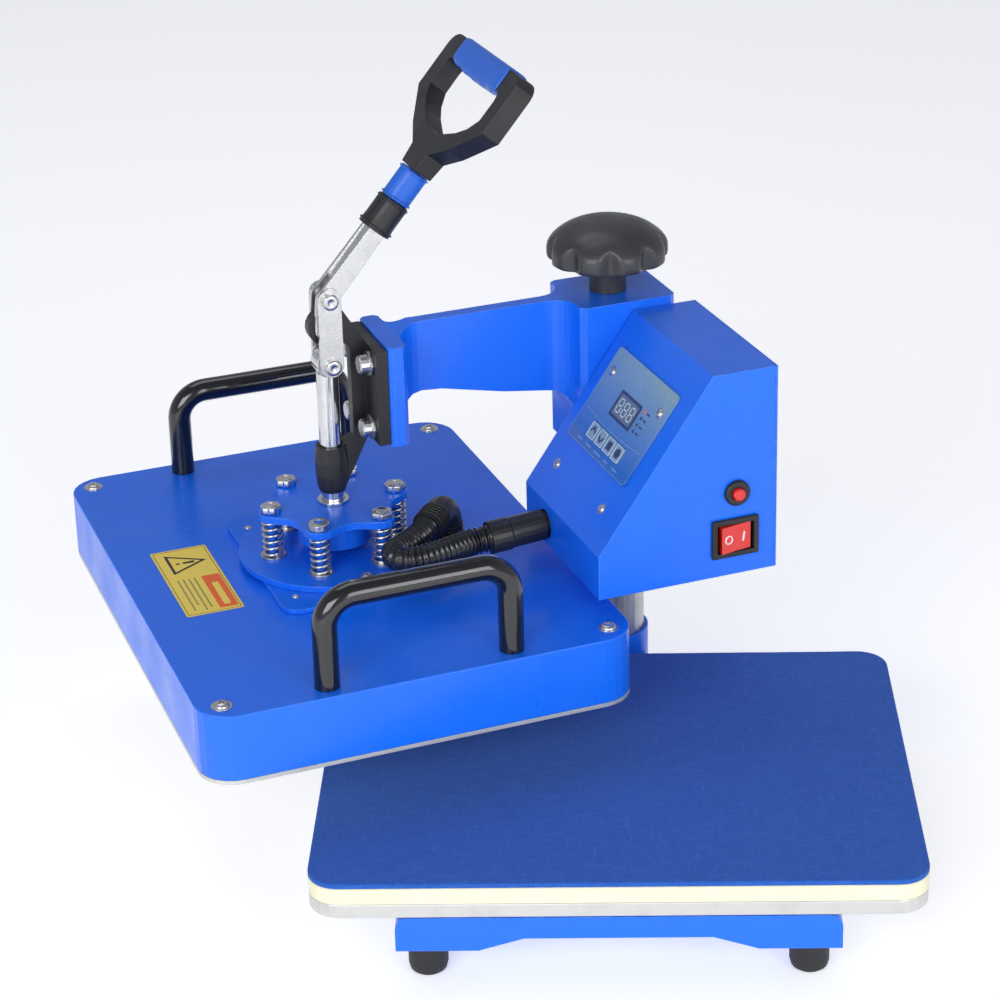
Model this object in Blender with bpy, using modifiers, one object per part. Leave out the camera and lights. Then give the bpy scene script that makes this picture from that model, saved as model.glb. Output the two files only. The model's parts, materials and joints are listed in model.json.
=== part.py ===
"""Swing-away heat press, 290 x 380 mm, with its head swung aside and its lever up.

The origin is the middle of the lower platen's work surface, +Y points back to the
column and +Z up.  The swinging head is laid out in its own axes, turned about the
column: "along" is the distance from the column towards the plunger, "side" is across
the arm, towards the control box.
"""
import math

import bmesh
import bpy
from mathutils import Matrix, Vector

# --- driving dimensions, metres -------------------------------------------------
PLATEN_X = 0.380            # lower platen, left to right
PLATEN_Y = 0.290            # lower platen, front to back
PLATEN_CORNER = 0.020
FELT_T = 0.0032
SILICONE_T = 0.0107
ALUMINIUM_T = 0.0097
SUPPORT_T = 0.0037
GAP = 0.0003                # between faces that touch
FLOOR_Z = -0.075
FOOT_X = 0.118
FOOT_FRONT_Y = -0.122
FOOT_REAR_Y = 0.176
REACH = 0.2036              # column axis to plunger axis
SWING = math.radians(-67.8)  # head turned away from over the platen
COLUMN_R = 0.0233
COLUMN_TOP = 0.126
SOCKET_R = 0.0262           # boss that holds the column's foot
POST_R = 0.018
SCREW_R = 0.006
SCREW_LOW = -0.030           # lower end of the height screw
KNOB_R = 0.0425
KNOB_TOP = 0.3020
KNOB_NECK_R = 0.0128
KNOB_LOBES = 9
KNOB_FLUTE = 0.0060         # depth of the flutes between lobes
BLOCK_BOTTOM = 0.141
BLOCK_TOP = 0.2513
WEB_T = 0.010               # arm web thickness
FLANGE_OUT = 0.170          # outer face of the arm flange, along
BRACKET_T = 0.008
TOGGLE_Z = 0.257            # fixed pivot of the lever
CRANK = 0.0205              # fixed pivot to crank pin
LINK = 0.0465               # crank pin to plunger pin
SHAFT_R = 0.0075
LEVER_LEAN = math.radians(40.5)  # lever leans back from upright
GRIP_HALF = 0.0074          # half the grip's thickness
PLATE_TOP = 0.129           # top of the spring plate
PLATE_T = 0.005
HEAD_X = 0.380              # upper platen, across the arm
HEAD_Y = 0.290              # upper platen, along the arm
COVER_TOP = 0.089
COVER_BOTTOM = 0.044
HEAT_BOTTOM = 0.041
COVER_WALL = 0.002
COVER_ROUND = 0.009         # rounding of the cover's top rim
RAISED_T = 0.003
DISC_R = 0.066
DISC_T = 0.004
SPRING_CIRCLE = 0.044
SPRING_R = 0.006            # mean radius of the coil
WIRE_R = 0.0011
SPRING_TURNS = 6
HANDLE_R = 0.0083
HANDLE_SIDE = 0.176
HANDLE_HALF = 0.0615
HANDLE_RISE = 0.061
BOX_SIDE0 = 0.031           # control box, side nearest the arm
BOX_SIDE1 = 0.160
BOX_FRONT = 0.075
BOX_BACK = -0.050
BOX_BOTTOM = 0.102
BOX_LIP_TOP = 0.1325
BOX_TOP = 0.2455
BOX_KNEE = -0.006           # where the slanted face meets the top
SHEET = 0.0015
HOSE_R = 0.0093
KEY = 0.0112


# --- scene and small tools -------------------------------------------------------
for old in list(bpy.data.objects):
    bpy.data.objects.remove(old, do_unlink=True)

parts = bpy.data.collections.new("heat_press")
bpy.context.scene.collection.children.link(parts)


def material(name, colour, roughness, metallic=0.0):
    mat = bpy.data.materials.new(name)
    mat.use_nodes = True
    shader = mat.node_tree.nodes["Principled BSDF"]
    shader.inputs["Base Color"].default_value = (*colour, 1.0)
    shader.inputs["Roughness"].default_value = roughness
    shader.inputs["Metallic"].default_value = metallic
    return mat


BLUE = material("blue_paint", (0.02, 0.13, 0.85), 0.35)
FELT = material("blue_felt", (0.02, 0.07, 0.36), 0.95)
CREAM = material("cream_silicone", (0.85, 0.82, 0.62), 0.6)
ALUMINIUM = material("aluminium", (0.75, 0.75, 0.72), 0.4, 0.8)
GREY = material("grey_steel", (0.45, 0.47, 0.47), 0.35, 0.8)
CHROME = material("chrome", (0.8, 0.8, 0.8), 0.12, 1.0)
ZINC = material("zinc", (0.7, 0.7, 0.7), 0.3, 0.9)
BLACK = material("black_plastic", (0.012, 0.012, 0.013), 0.35)
CAST_BLACK = material("black_casting", (0.015, 0.015, 0.016), 0.45)
GLOSS = material("black_gloss", (0.008, 0.008, 0.009), 0.12)
RUBBER = material("black_rubber", (0.02, 0.02, 0.02), 0.75)
PANEL = material("panel_film", (0.10, 0.25, 0.42), 0.3)
KEYCAP = material("key_film", (0.45, 0.60, 0.68), 0.4)
RED = material("red_switch", (0.75, 0.02, 0.015), 0.25)
BOARD = material("circuit_board", (0.02, 0.20, 0.07), 0.5)

swing_frame = bpy.data.objects.new("swing_frame", None)
swing_frame.location = (0.0, REACH, 0.0)
swing_frame.rotation_euler = (0.0, 0.0, SWING)
parts.objects.link(swing_frame)


def head_point(along, side, z):
    """A point of the head in the swing frame's own axes."""
    return Vector((side, -along, z))


def from_bmesh(name, bm):
    mesh = bpy.data.meshes.new(name)
    bm.to_mesh(mesh)
    bm.free()
    obj = bpy.data.objects.new(name, mesh)
    parts.objects.link(obj)
    return obj


def block(name, size, centre):
    bm = bmesh.new()
    bmesh.ops.create_cube(bm, size=1.0)
    bmesh.ops.scale(bm, vec=size, verts=bm.verts)
    bmesh.ops.translate(bm, vec=centre, verts=bm.verts)
    return from_bmesh(name, bm)


def aim(direction):
    """Rotation that turns +Z to the direction."""
    return Vector((0.0, 0.0, 1.0)).rotation_difference(Vector(direction)).to_matrix().to_4x4()


def rod(name, radius, start, end, segments=24):
    start = Vector(start)
    end = Vector(end)
    bm = bmesh.new()
    bmesh.ops.create_cone(bm, cap_ends=True, segments=segments, radius1=radius,
                          radius2=radius, depth=(end - start).length)
    place = Matrix.Translation((start + end) / 2) @ aim(end - start)
    bmesh.ops.transform(bm, matrix=place, verts=bm.verts)
    return from_bmesh(name, bm)


def arc(cx, cy, radius, start, end, count):
    """Points on an arc, angles in degrees."""
    points = []
    for i in range(count + 1):
        angle = math.radians(start + (end - start) * i / count)
        points.append((cx + radius * math.cos(angle), cy + radius * math.sin(angle)))
    return points


def rounded(width, depth, radius, count=5):
    """Outline of a rectangle with round corners."""
    x = width / 2 - radius
    y = depth / 2 - radius
    points = []
    for cx, cy, start in ((x, y, 0), (-x, y, 90), (-x, -y, 180), (x, -y, 270)):
        points += arc(cx, cy, radius, start, start + 90, count)
    return points


def prism(name, outlines, z0, z1, matrix=None):
    """A flat outline, with any holes, as a solid from z0 to z1."""
    curve = bpy.data.curves.new(name, "CURVE")
    curve.dimensions = "2D"
    curve.fill_mode = "BOTH"
    curve.extrude = (z1 - z0) / 2
    for points in outlines:
        spline = curve.splines.new("POLY")
        spline.points.add(len(points) - 1)
        for slot, (x, y) in zip(spline.points, points):
            slot.co = (x, y, 0.0, 1.0)
        spline.use_cyclic_u = True
    obj = bpy.data.objects.new(name, curve)
    parts.objects.link(obj)
    solid = to_mesh(obj)
    place = Matrix.Translation((0.0, 0.0, (z0 + z1) / 2))
    turn = matrix or Matrix()
    solid.data.transform(turn @ place)
    if turn.determinant() < 0:
        solid.data.flip_normals()
    return solid


def to_mesh(obj):
    """The object as a welded mesh object, modifiers and curve bevel included."""
    bpy.context.view_layer.update()
    graph = bpy.context.evaluated_depsgraph_get()
    mesh = bpy.data.meshes.new_from_object(obj.evaluated_get(graph))
    bm = bmesh.new()
    bm.from_mesh(mesh)
    bmesh.ops.remove_doubles(bm, verts=bm.verts, dist=1e-6)
    bmesh.ops.recalc_face_normals(bm, faces=bm.faces)
    bm.to_mesh(mesh)
    bm.free()
    name = obj.name
    matrix = obj.matrix_world.copy()
    bpy.data.objects.remove(obj, do_unlink=True)
    solid = bpy.data.objects.new(name, mesh)
    solid.matrix_world = matrix
    parts.objects.link(solid)
    return solid


def side_view():
    """Turns an outline drawn as (along, z) into the head's upright plane."""
    return Matrix(((0, 0, 1, 0), (-1, 0, 0, 0), (0, 1, 0, 0), (0, 0, 0, 1)))


def profile(name, outlines, side0, side1):
    """A solid from an (along, z) outline between two sides of the head."""
    return prism(name, outlines, side0, side1, side_view())


def turned(name, points, steps=32):
    """A profile of (radius, z) pairs, outer side top to bottom, turned about Z."""
    mesh = bpy.data.meshes.new(name)
    verts = [(r, 0.0, z) for r, z in points]
    edges = [(i, i + 1) for i in range(len(points) - 1)]
    mesh.from_pydata(verts, edges, [])
    obj = bpy.data.objects.new(name, mesh)
    parts.objects.link(obj)
    screw = obj.modifiers.new("turn", "SCREW")
    screw.steps = steps
    screw.render_steps = steps
    screw.use_merge_vertices = True
    screw.merge_threshold = 0.00001
    return to_mesh(obj)


def tube(name, points, radius, resolution=3):
    curve = bpy.data.curves.new(name, "CURVE")
    curve.dimensions = "3D"
    curve.bevel_depth = radius
    curve.bevel_resolution = resolution
    curve.use_fill_caps = True
    spline = curve.splines.new("POLY")
    spline.points.add(len(points) - 1)
    for slot, point in zip(spline.points, points):
        slot.co = (*point, 1.0)
    obj = bpy.data.objects.new(name, curve)
    parts.objects.link(obj)
    return to_mesh(obj)


def combine(obj, other, operation="UNION"):
    """Boolean of two solids, kept as the first."""
    change = obj.modifiers.new("boolean", "BOOLEAN")
    change.operation = operation
    change.solver = "EXACT"
    change.object = other
    solid = to_mesh(obj)
    bpy.data.objects.remove(other, do_unlink=True)
    return solid


def cut(obj, other):
    return combine(obj, other, "DIFFERENCE")


def bevel(obj, width, segments=2, angle=40.0):
    change = obj.modifiers.new("bevel", "BEVEL")
    change.width = width
    change.segments = segments
    change.limit_method = "ANGLE"
    change.angle_limit = math.radians(angle)
    return to_mesh(obj)


def move(obj, offset):
    obj.data.transform(Matrix.Translation(offset))
    return obj


def finish(obj, mat, parent=None, pivot=(0.0, 0.0, 0.0)):
    """Gives the solid its material, its parent and an origin at the pivot."""
    pivot = Vector(pivot)
    obj.data.transform(Matrix.Translation(-pivot))
    obj.location = pivot
    if parent is not None:
        obj.parent = parent
    obj.data.materials.clear()
    obj.data.materials.append(mat)
    obj.data.shade_smooth()
    obj.data.set_sharp_from_angle(angle=math.radians(35))
    return obj


def smooth_route(controls, step):
    """Points along a Catmull-Rom curve through the controls, about a step apart."""
    controls = [Vector(c) for c in controls]
    padded = [2 * controls[0] - controls[1], *controls, 2 * controls[-1] - controls[-2]]
    points = [controls[0]]
    for i in range(1, len(padded) - 2):
        p0, p1, p2, p3 = padded[i - 1:i + 3]
        count = max(1, round((p2 - p1).length / step))
        for k in range(1, count + 1):
            t = k / count
            point = 0.5 * (2 * p1 + (p2 - p0) * t + (2 * p0 - 5 * p1 + 4 * p2 - p3) * t * t
                           + (3 * p1 - p0 - 3 * p2 + p3) * t * t * t)
            points.append(point)
    return points


# --- base ------------------------------------------------------------------------
def lower_stack():
    """Felt, silicone, aluminium platen and its support plate, from the top down."""
    outline = rounded(PLATEN_X, PLATEN_Y, PLATEN_CORNER)
    finish(prism("felt_pad", [outline], -FELT_T, 0.0), FELT)
    silicone_top = -FELT_T - GAP
    silicone_low = silicone_top - SILICONE_T
    finish(prism("silicone_pad", [outline], silicone_low, silicone_top), CREAM)
    platen_top = silicone_low - GAP
    platen_low = platen_top - ALUMINIUM_T
    platen = prism("lower_platen", [outline], platen_low, platen_top)
    finish(bevel(platen, 0.002, 2, 60.0), ALUMINIUM)
    support_top = platen_low - GAP
    support = prism("support_plate", [rounded(0.190, 0.250, 0.010, 3)],
                    support_top - SUPPORT_T, support_top)
    finish(support, ALUMINIUM)
    return support_top - SUPPORT_T - GAP


def base_frame(top):
    """Welded frame: two cross bars with end pads, two rails and the column socket."""
    bar_low = top - 0.015
    pad_low = top - 0.0235
    rail_length = FOOT_REAR_Y - FOOT_FRONT_Y
    mid_y = (FOOT_REAR_Y + FOOT_FRONT_Y) / 2
    frame = None
    for y in (FOOT_FRONT_Y, FOOT_REAR_Y):
        half = 0.137
        outline = [(-half, pad_low), (-0.086, pad_low), (-0.058, bar_low), (0.058, bar_low),
                   (0.086, pad_low), (half, pad_low)]
        outline += arc(half - 0.008, top - 0.008, 0.008, 0, 90, 4)
        outline += arc(-half + 0.008, top - 0.008, 0.008, 90, 180, 4)
        upright = Matrix(((1, 0, 0, 0), (0, 0, -1, y), (0, 1, 0, 0), (0, 0, 0, 1)))
        bar = prism("base_frame", [outline], -0.017, 0.017, upright)
        frame = bar if frame is None else combine(frame, bar)
    for x in (-0.055, 0.055):
        rail = block("rail", (0.028, rail_length, top - bar_low - 0.002), (x, mid_y, (top + bar_low) / 2))
        frame = combine(frame, rail)
    deck = block("deck", (0.1365, 0.045, 0.006), (0.0, REACH - 0.0285, top - 0.0045))
    frame = combine(frame, deck)
    socket = rod("socket", SOCKET_R, (0.0, REACH, top - 0.014), (0.0, REACH, top + 0.022), 40)
    frame = combine(frame, socket)
    bore = rod("bore", COLUMN_R + GAP, (0.0, REACH, top - 0.009), (0.0, REACH, top + 0.03), 32)
    frame = cut(frame, bore)
    finish(frame, BLUE)
    return pad_low


def feet(pad_low):
    top = pad_low - GAP
    shape = [(0.0, top), (0.0125, top), (0.0125, FLOOR_Z + 0.006), (0.0115, FLOOR_Z + 0.002),
             (0.0090, FLOOR_Z), (0.0, FLOOR_Z)]
    spots = (("foot_front_left", -FOOT_X, FOOT_FRONT_Y), ("foot_front_right", FOOT_X, FOOT_FRONT_Y),
             ("foot_rear_left", -FOOT_X, FOOT_REAR_Y), ("foot_rear_right", FOOT_X, FOOT_REAR_Y))
    for name, x, y in spots:
        foot = turned(name, shape, 24)
        finish(move(foot, (x, y, 0.0)), RUBBER, None, (x, y, top))


def column(top):
    """Fixed post: a tube with a threaded plug at its foot for the height screw."""
    foot = top - 0.009 + GAP
    shape = [(SCREW_R + GAP, foot + 0.022), (POST_R + GAP, foot + 0.022),
             (POST_R + GAP, COLUMN_TOP), (COLUMN_R, COLUMN_TOP), (COLUMN_R, foot),
             (SCREW_R + GAP, foot), (SCREW_R + GAP, foot + 0.022)]
    tube_body = turned("column", shape)
    finish(move(tube_body, (0.0, REACH, 0.0)), GREY, None, (0.0, REACH, 0.0))
    return foot


# --- lift post, screw and knob ----------------------------------------------------
def lift_post():
    """Inner post that slides in the column; the head turns on it."""
    bore = SCREW_R + 0.0006
    collar_top = BLOCK_BOTTOM - 0.002
    shape = [(bore, 0.236), (POST_R - 0.001, 0.236), (POST_R, 0.235), (POST_R, collar_top),
             (COLUMN_R, collar_top), (COLUMN_R, collar_top - 0.007), (POST_R, collar_top - 0.007),
             (POST_R, 0.0), (bore, 0.0), (bore, 0.236)]
    finish(turned("lift_post", shape), CHROME, swing_frame)
    washer_low = collar_top + GAP
    washer_top = BLOCK_BOTTOM - GAP
    ring = [(POST_R + GAP, washer_top), (COLUMN_R, washer_top), (COLUMN_R, washer_low),
            (POST_R + GAP, washer_low), (POST_R + GAP, washer_top)]
    finish(turned("thrust_washer", ring), ZINC, swing_frame)


def knob_outline(radius, lobes, depth):
    points = []
    count = lobes * 8
    for i in range(count):
        angle = 2 * math.pi * i / count
        r = radius - depth * (0.5 - 0.5 * math.cos(lobes * angle)) ** 2
        points.append((r * math.cos(angle), r * math.sin(angle)))
    return points


def adjusting_knob():
    """Fluted knob: a shallow dome over nine lobes, hollow below, on a long neck."""
    low = BLOCK_TOP + GAP
    neck = rod("neck", KNOB_NECK_R, (0, 0, low), (0, 0, KNOB_TOP - 0.015), 24)
    dome = [(0.0, 0.0), (0.012, -0.0006), (0.022, -0.0026), (0.031, -0.0066), (0.038, -0.0120),
            (0.0418, -0.0175), (KNOB_R, -0.0215), (KNOB_R, -0.0250), (0.0405, -0.0280),
            (0.0365, -0.0280), (0.0345, -0.0200), (0.0, -0.0180)]
    knob = turned("adjusting_knob", [(r, KNOB_TOP + z) for r, z in dome], 72)
    outline = knob_outline(KNOB_R, KNOB_LOBES, KNOB_FLUTE)
    knob = combine(knob, prism("lobes", [outline], low, KNOB_TOP + 0.01), "INTERSECT")
    knob = combine(knob, neck)
    hole_top = low + 0.018
    knob = cut(knob, rod("hole", SCREW_R + GAP, (0, 0, low - 0.01), (0, 0, hole_top), 16))
    finish(knob, BLACK, swing_frame)
    screw = rod("adjusting_screw", SCREW_R, (0, 0, SCREW_LOW), (0, 0, hole_top - 0.001), 16)
    finish(screw, ZINC, swing_frame)


# --- swing arm --------------------------------------------------------------------
def swing_arm():
    """Casting: column block, tapering web and flange, with wide fillets in plan."""
    half_web = WEB_T / 2
    half_block = 0.030
    half_flange = 0.032
    fillet = 0.016
    block_front = 0.032
    flange_in = FLANGE_OUT - 0.013
    near = [(-0.038, half_block - 0.004), (-0.034, half_block), (block_front - 0.004, half_block),
            (block_front, half_block - 0.003)]
    near += [(x, y) for x, y in arc(block_front + fillet, half_web + fillet, fillet, 180, 270, 6)]
    near += arc(flange_in - fillet, half_web + fillet, fillet, -90, 0, 6)
    near += [(flange_in, half_flange - 0.003), (flange_in + 0.003, half_flange),
             (FLANGE_OUT - 0.003, half_flange), (FLANGE_OUT, half_flange - 0.003)]
    outline = near + [(x, -y) for x, y in reversed(near)]
    plan_axes = Matrix(((0, 1, 0, 0), (-1, 0, 0, 0), (0, 0, 1, 0), (0, 0, 0, 1)))
    body = prism("swing_arm", [outline], BLOCK_BOTTOM, BLOCK_TOP, plan_axes)
    side = [(-0.050, BLOCK_BOTTOM), (block_front, BLOCK_BOTTOM), (block_front, 0.170)]
    side += arc(block_front + 0.014, 0.171, 0.014, 180, 90, 5)
    side += [(0.080, 0.190), (0.125, 0.200)]
    side += arc(flange_in - 0.018, 0.183, 0.018, 90, 0, 4)
    side += [(flange_in, 0.175), (0.180, 0.175), (0.180, 0.246), (flange_in, 0.246)]
    side += [(0.145, 0.2513), (0.100, 0.260), (-0.050, 0.260)]
    mask = profile("mask", [side], -0.05, 0.05)
    body = combine(body, mask, "INTERSECT")
    body = cut(body, rod("bore", POST_R + GAP, (0, 0, 0.1), (0, 0, 0.243), 32))
    body = cut(body, rod("hole", SCREW_R + 0.0015, (0, 0, 0.2), (0, 0, 0.3), 16))
    for spot in bolt_spots():
        body = cut(body, rod("hole", 0.0036, head_point(0.155, spot[0], spot[1]),
                             head_point(0.175, spot[0], spot[1]), 12))
    finish(body, BLUE, swing_frame)


def bolt_spots():
    return [(side, z) for z in (0.232, 0.186) for side in (0.0165, -0.0165)]


def toggle_bracket():
    """Black casting: flange plate, upright web, ear for the lever and plunger guide."""
    inner = FLANGE_OUT + GAP
    face = inner + BRACKET_T
    plate = block("toggle_bracket", (0.060, BRACKET_T, 0.067),
                  head_point((inner + face) / 2, 0.0, 0.2105))
    ear_r = 0.0125
    web = [(face - 0.001, 0.176), (REACH - 0.008, 0.139), (REACH, 0.139), (REACH, 0.168),
           (REACH - 0.0155, 0.176), (REACH - 0.0155, 0.240)]
    web += arc(REACH, TOGGLE_Z, ear_r, -130, 90, 12)
    web += [(REACH - 0.010, 0.2700), (face - 0.001, 0.243)]
    bracket = combine(plate, profile("web", [web], -0.004, 0.004))
    guide = [(0.0, 0.171), (0.0102, 0.171), (0.0112, 0.160), (0.0110, 0.150), (0.0102, 0.142),
             (0.0090, 0.138), (0.0, 0.138)]
    boss = turned("guide", guide, 28)
    bracket = combine(bracket, move(boss, head_point(REACH, 0, 0)))
    bore = rod("bore", SHAFT_R + 0.0004, head_point(REACH, 0, 0.13), head_point(REACH, 0, 0.18), 28)
    bracket = cut(bracket, bore)
    pin_hole = rod("hole", 0.0043, head_point(REACH, -0.01, TOGGLE_Z), head_point(REACH, 0.01, TOGGLE_Z), 20)
    bracket = cut(bracket, pin_hole)
    for side, z in bolt_spots():
        bracket = cut(bracket, rod("hole", 0.0036, head_point(0.165, side, z),
                                   head_point(0.185, side, z), 12))
    finish(bracket, CAST_BLACK, swing_frame)
    for i, (side, z) in enumerate(bolt_spots(), 1):
        shape = [(0.0, 0.0085), (0.0055, 0.0085), (0.0065, 0.0075), (0.0065, 0.0019), (0.0085, 0.0019),
                 (0.0085, GAP), (0.0033, GAP), (0.0033, -0.018), (0.0, -0.018)]
        bolt = turned(f"bracket_bolt_{i}", shape, 16)
        bolt.data.transform(Matrix.Translation(head_point(face, side, z)) @ aim((0, -1, 0)))
        finish(bolt, ZINC, swing_frame)


# --- lever, links and plunger -------------------------------------------------------
LEVER_DIR = Vector((-math.sin(LEVER_LEAN), math.cos(LEVER_LEAN)))  # (along, z)
CRANK_PIN = Vector((REACH - 0.0012, TOGGLE_Z + CRANK))
PLUNGER_PIN_Z = TOGGLE_Z + CRANK - LINK


def lever_axes():
    """Axes of the handle: x across, y up along the lever, z out of its broad face."""
    along, up = LEVER_DIR
    y_axis = Vector((0.0, -along, up))
    x_axis = Vector((1.0, 0.0, 0.0))
    z_axis = x_axis.cross(y_axis)
    place = Matrix((x_axis, y_axis, z_axis)).transposed().to_4x4()
    return Matrix.Translation(head_point(CRANK_PIN.x, 0.0, CRANK_PIN.y)) @ place


def capsule(p, q, r0, r1):
    """Outline of a strap between two pins."""
    axis = math.degrees(math.atan2(q.y - p.y, q.x - p.x))
    return arc(p.x, p.y, r0, axis + 90, axis + 270, 8) + arc(q.x, q.y, r1, axis - 90, axis + 90, 8)


def lever_arm():
    """Zinc channel: two cheeks that straddle the ear, closed into a bar above them."""
    pivot = Vector((REACH, TOGGLE_Z))
    top = CRANK_PIN + LEVER_DIR * 0.062
    lever = None
    for side in (-1, 1):
        near = 0.0043 * side
        far = 0.0073 * side
        low, high = sorted((near, far))
        strap = profile("strap", [capsule(pivot, CRANK_PIN, 0.0085, 0.0080)], low, high)
        arm = profile("arm", [capsule(CRANK_PIN, top, 0.0070, 0.0060)], low, high)
        cheek = combine(strap, arm)
        lever = cheek if lever is None else (lever, cheek)
    start = CRANK_PIN + LEVER_DIR * 0.016
    core = profile("lever_arm", [capsule(start, top, 0.0055, 0.0055)], -0.0045, 0.0045)
    body = combine(core, lever[0])
    body = combine(body, lever[1])
    for centre, radius in ((pivot, 0.0043), (CRANK_PIN, 0.0043)):
        body = cut(body, rod("hole", radius, head_point(centre.x, -0.02, centre.y),
                             head_point(centre.x, 0.02, centre.y), 16))
    joint = head_point(REACH, 0.0, TOGGLE_Z)
    finish(body, ZINC, swing_frame, joint)
    for name, centre in (("toggle_pin", pivot), ("crank_pin", CRANK_PIN)):
        pin = rod(name, 0.0040, head_point(centre.x, -0.0073, centre.y),
                  head_point(centre.x, 0.0073, centre.y), 16)
        finish(pin, ZINC, swing_frame, joint)


def lever_tube(name, shape, mat, squash=0.85):
    """A turned sleeve on the lever, a little flat, between two stations."""
    body = turned(name, shape, 24)
    body.data.transform(Matrix.Diagonal((squash, 1.0, 1.0, 1.0)))
    body.data.transform(lever_axes() @ Matrix.Rotation(math.radians(-90), 4, "X"))
    return finish(body, mat, swing_frame, head_point(REACH, 0.0, TOGGLE_Z))


def lever_grip():
    """Black socket, blue collar and the D-shaped grip with its blue insert."""
    hole = 0.0098
    shape = [(hole, 0.078), (0.0112, 0.078), (0.0112, 0.062), (0.0118, 0.055),
             (hole, 0.055), (hole, 0.078)]
    lever_tube("lever_socket", shape, BLACK, 1.0)
    collar = [(0.0, 0.102), (0.0100, 0.102), (0.0105, 0.101), (0.0105, 0.0795), (0.0100, 0.0785),
              (0.0, 0.0785)]
    lever_tube("lever_collar", collar, BLUE)
    outer = [(0.012, 0.1025), (0.015, 0.116), (0.034, 0.127), (0.0615, 0.149)]
    outer += arc(0.0515, 0.1830, 0.010, 0, 90, 4)
    inner = [(0.009, 0.1305), (0.030, 0.1390), (0.0400, 0.1455), (0.0472, 0.1545), (0.0475, 0.1690)]
    inner += arc(0.0415, 0.1705, 0.0060, 0, 90, 3)
    outline = outer + [(-x, y) for x, y in reversed(outer)]
    opening = inner + [(-x, y) for x, y in reversed(inner)]
    grip = prism("d_handle", [outline, opening], -GRIP_HALF, GRIP_HALF)
    grip = bevel(grip, 0.0045, 3, 50.0)
    grip = cut(grip, grip_piece("recess", GAP, 0.0010 - GAP))
    grip.data.transform(lever_axes())
    joint = head_point(REACH, 0.0, TOGGLE_Z)
    finish(grip, BLACK, swing_frame, joint)
    insert = bevel(grip_piece("grip_insert", 0.0, 0.0010), 0.0010, 2, 50.0)
    insert.data.transform(lever_axes())
    finish(insert, BLUE, swing_frame, joint)


def grip_piece(name, grow, floor):
    """Finger insert in the broad face of the grip's top bar, ribbed towards the opening."""
    half = 0.040 + grow
    points = arc(half - 0.006, 0.1840, 0.006 + grow, 0, 90, 4)
    points += arc(-half + 0.006, 0.1840, 0.006 + grow, 90, 180, 4)
    count = 48
    for i in range(count + 1):
        x = -half + 2 * half * i / count
        wave = 0.0007 * math.cos(x / 0.040 * math.pi * 4.5)
        bow = 0.0010 * (1 - (x / 0.040) ** 2)
        points.append((x, 0.1760 - grow + wave - bow))
    return prism(name, [points], floor, GRIP_HALF + 0.0012 + 10 * grow)


def links():
    """Pair of silver links, each with its pin heads, outside the lever's cheeks."""
    foot = Vector((REACH - 0.0012, PLUNGER_PIN_Z))
    joint = head_point(CRANK_PIN.x, 0.0, CRANK_PIN.y)
    for name, sign in (("link_near", 1), ("link_far", -1)):
        low, high = sorted((0.0078 * sign, 0.0106 * sign))
        link = profile(name, [capsule(foot, CRANK_PIN, 0.0080, 0.0080)], low, high)
        for centre, radius in ((CRANK_PIN, 0.0055), (foot, 0.0058)):
            start = head_point(centre.x, 0.0095 * sign, centre.y)
            end = head_point(centre.x, 0.0130 * sign, centre.y)
            link = combine(link, rod("pin_head", radius, start, end, 20))
        finish(link, ZINC, swing_frame, joint)


def plunger():
    shape = [(0.0, 0.224), (SHAFT_R, 0.224), (SHAFT_R, PLATE_TOP + GAP), (0.0047, PLATE_TOP + GAP),
             (0.0047, 0.106), (0.0, 0.106)]
    shaft = turned("plunger", shape, 28)
    shaft = move(shaft, head_point(REACH, 0.0, 0.0))
    eye = rod("eye", 0.0088, head_point(REACH, -0.0070, PLUNGER_PIN_Z),
              head_point(REACH, 0.0070, PLUNGER_PIN_Z), 28)
    shaft = combine(shaft, eye)
    finish(shaft, CHROME, swing_frame, head_point(REACH, 0.0, PLATE_TOP))
    ring = [(SHAFT_R + GAP, 0.1312), (0.0108, 0.1312), (0.0108, PLATE_TOP + GAP),
            (SHAFT_R + GAP, PLATE_TOP + GAP), (SHAFT_R + GAP, 0.1312)]
    washer = turned("plunger_washer", ring, 28)
    finish(move(washer, head_point(REACH, 0.0, 0.0)), CHROME, swing_frame,
           head_point(REACH, 0.0, PLATE_TOP))


def bolt_circle():
    """Six stations round the plunger, in head axes."""
    stations = []
    for i in range(6):
        angle = math.radians(60 * i)
        stations.append((REACH + SPRING_CIRCLE * math.cos(angle), SPRING_CIRCLE * math.sin(angle)))
    return stations


def star_outline():
    """Six lobes joined by hollow flanks, one lobe round each bolt."""
    points = []
    count = 72
    for i in range(count):
        angle = 2 * math.pi * i / count
        lobe = 0.5 + 0.5 * math.cos(6 * angle)
        r = 0.0395 + 0.0130 * lobe ** 1.3
        points.append((REACH + r * math.cos(angle), r * math.sin(angle)))
    return points


def spring_plate():
    plan_axes = Matrix(((0, 1, 0, 0), (-1, 0, 0, 0), (0, 0, 1, 0), (0, 0, 0, 1)))
    plate = prism("spring_plate", [star_outline()], PLATE_TOP - PLATE_T, PLATE_TOP, plan_axes)
    hub = rod("hub", 0.025, head_point(REACH, 0, 0.103), head_point(REACH, 0, PLATE_TOP - 0.001), 36)
    plate = combine(plate, hub)
    bore = rod("bore", 0.0050, head_point(REACH, 0, 0.09), head_point(REACH, 0, 0.14), 16)
    plate = cut(plate, bore)
    for along, side in bolt_circle():
        plate = cut(plate, rod("hole", 0.0038, head_point(along, side, 0.11),
                               head_point(along, side, 0.14), 12))
    finish(plate, BLUE, swing_frame, head_point(REACH, 0.0, PLATE_TOP))


# --- heating head --------------------------------------------------------------------
def head_slab(name, width, depth, radius, z0, z1, count=6):
    slab = prism(name, [rounded(width, depth, radius, count)], z0, z1)
    return move(slab, head_point(REACH, 0.0, 0.0))


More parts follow.
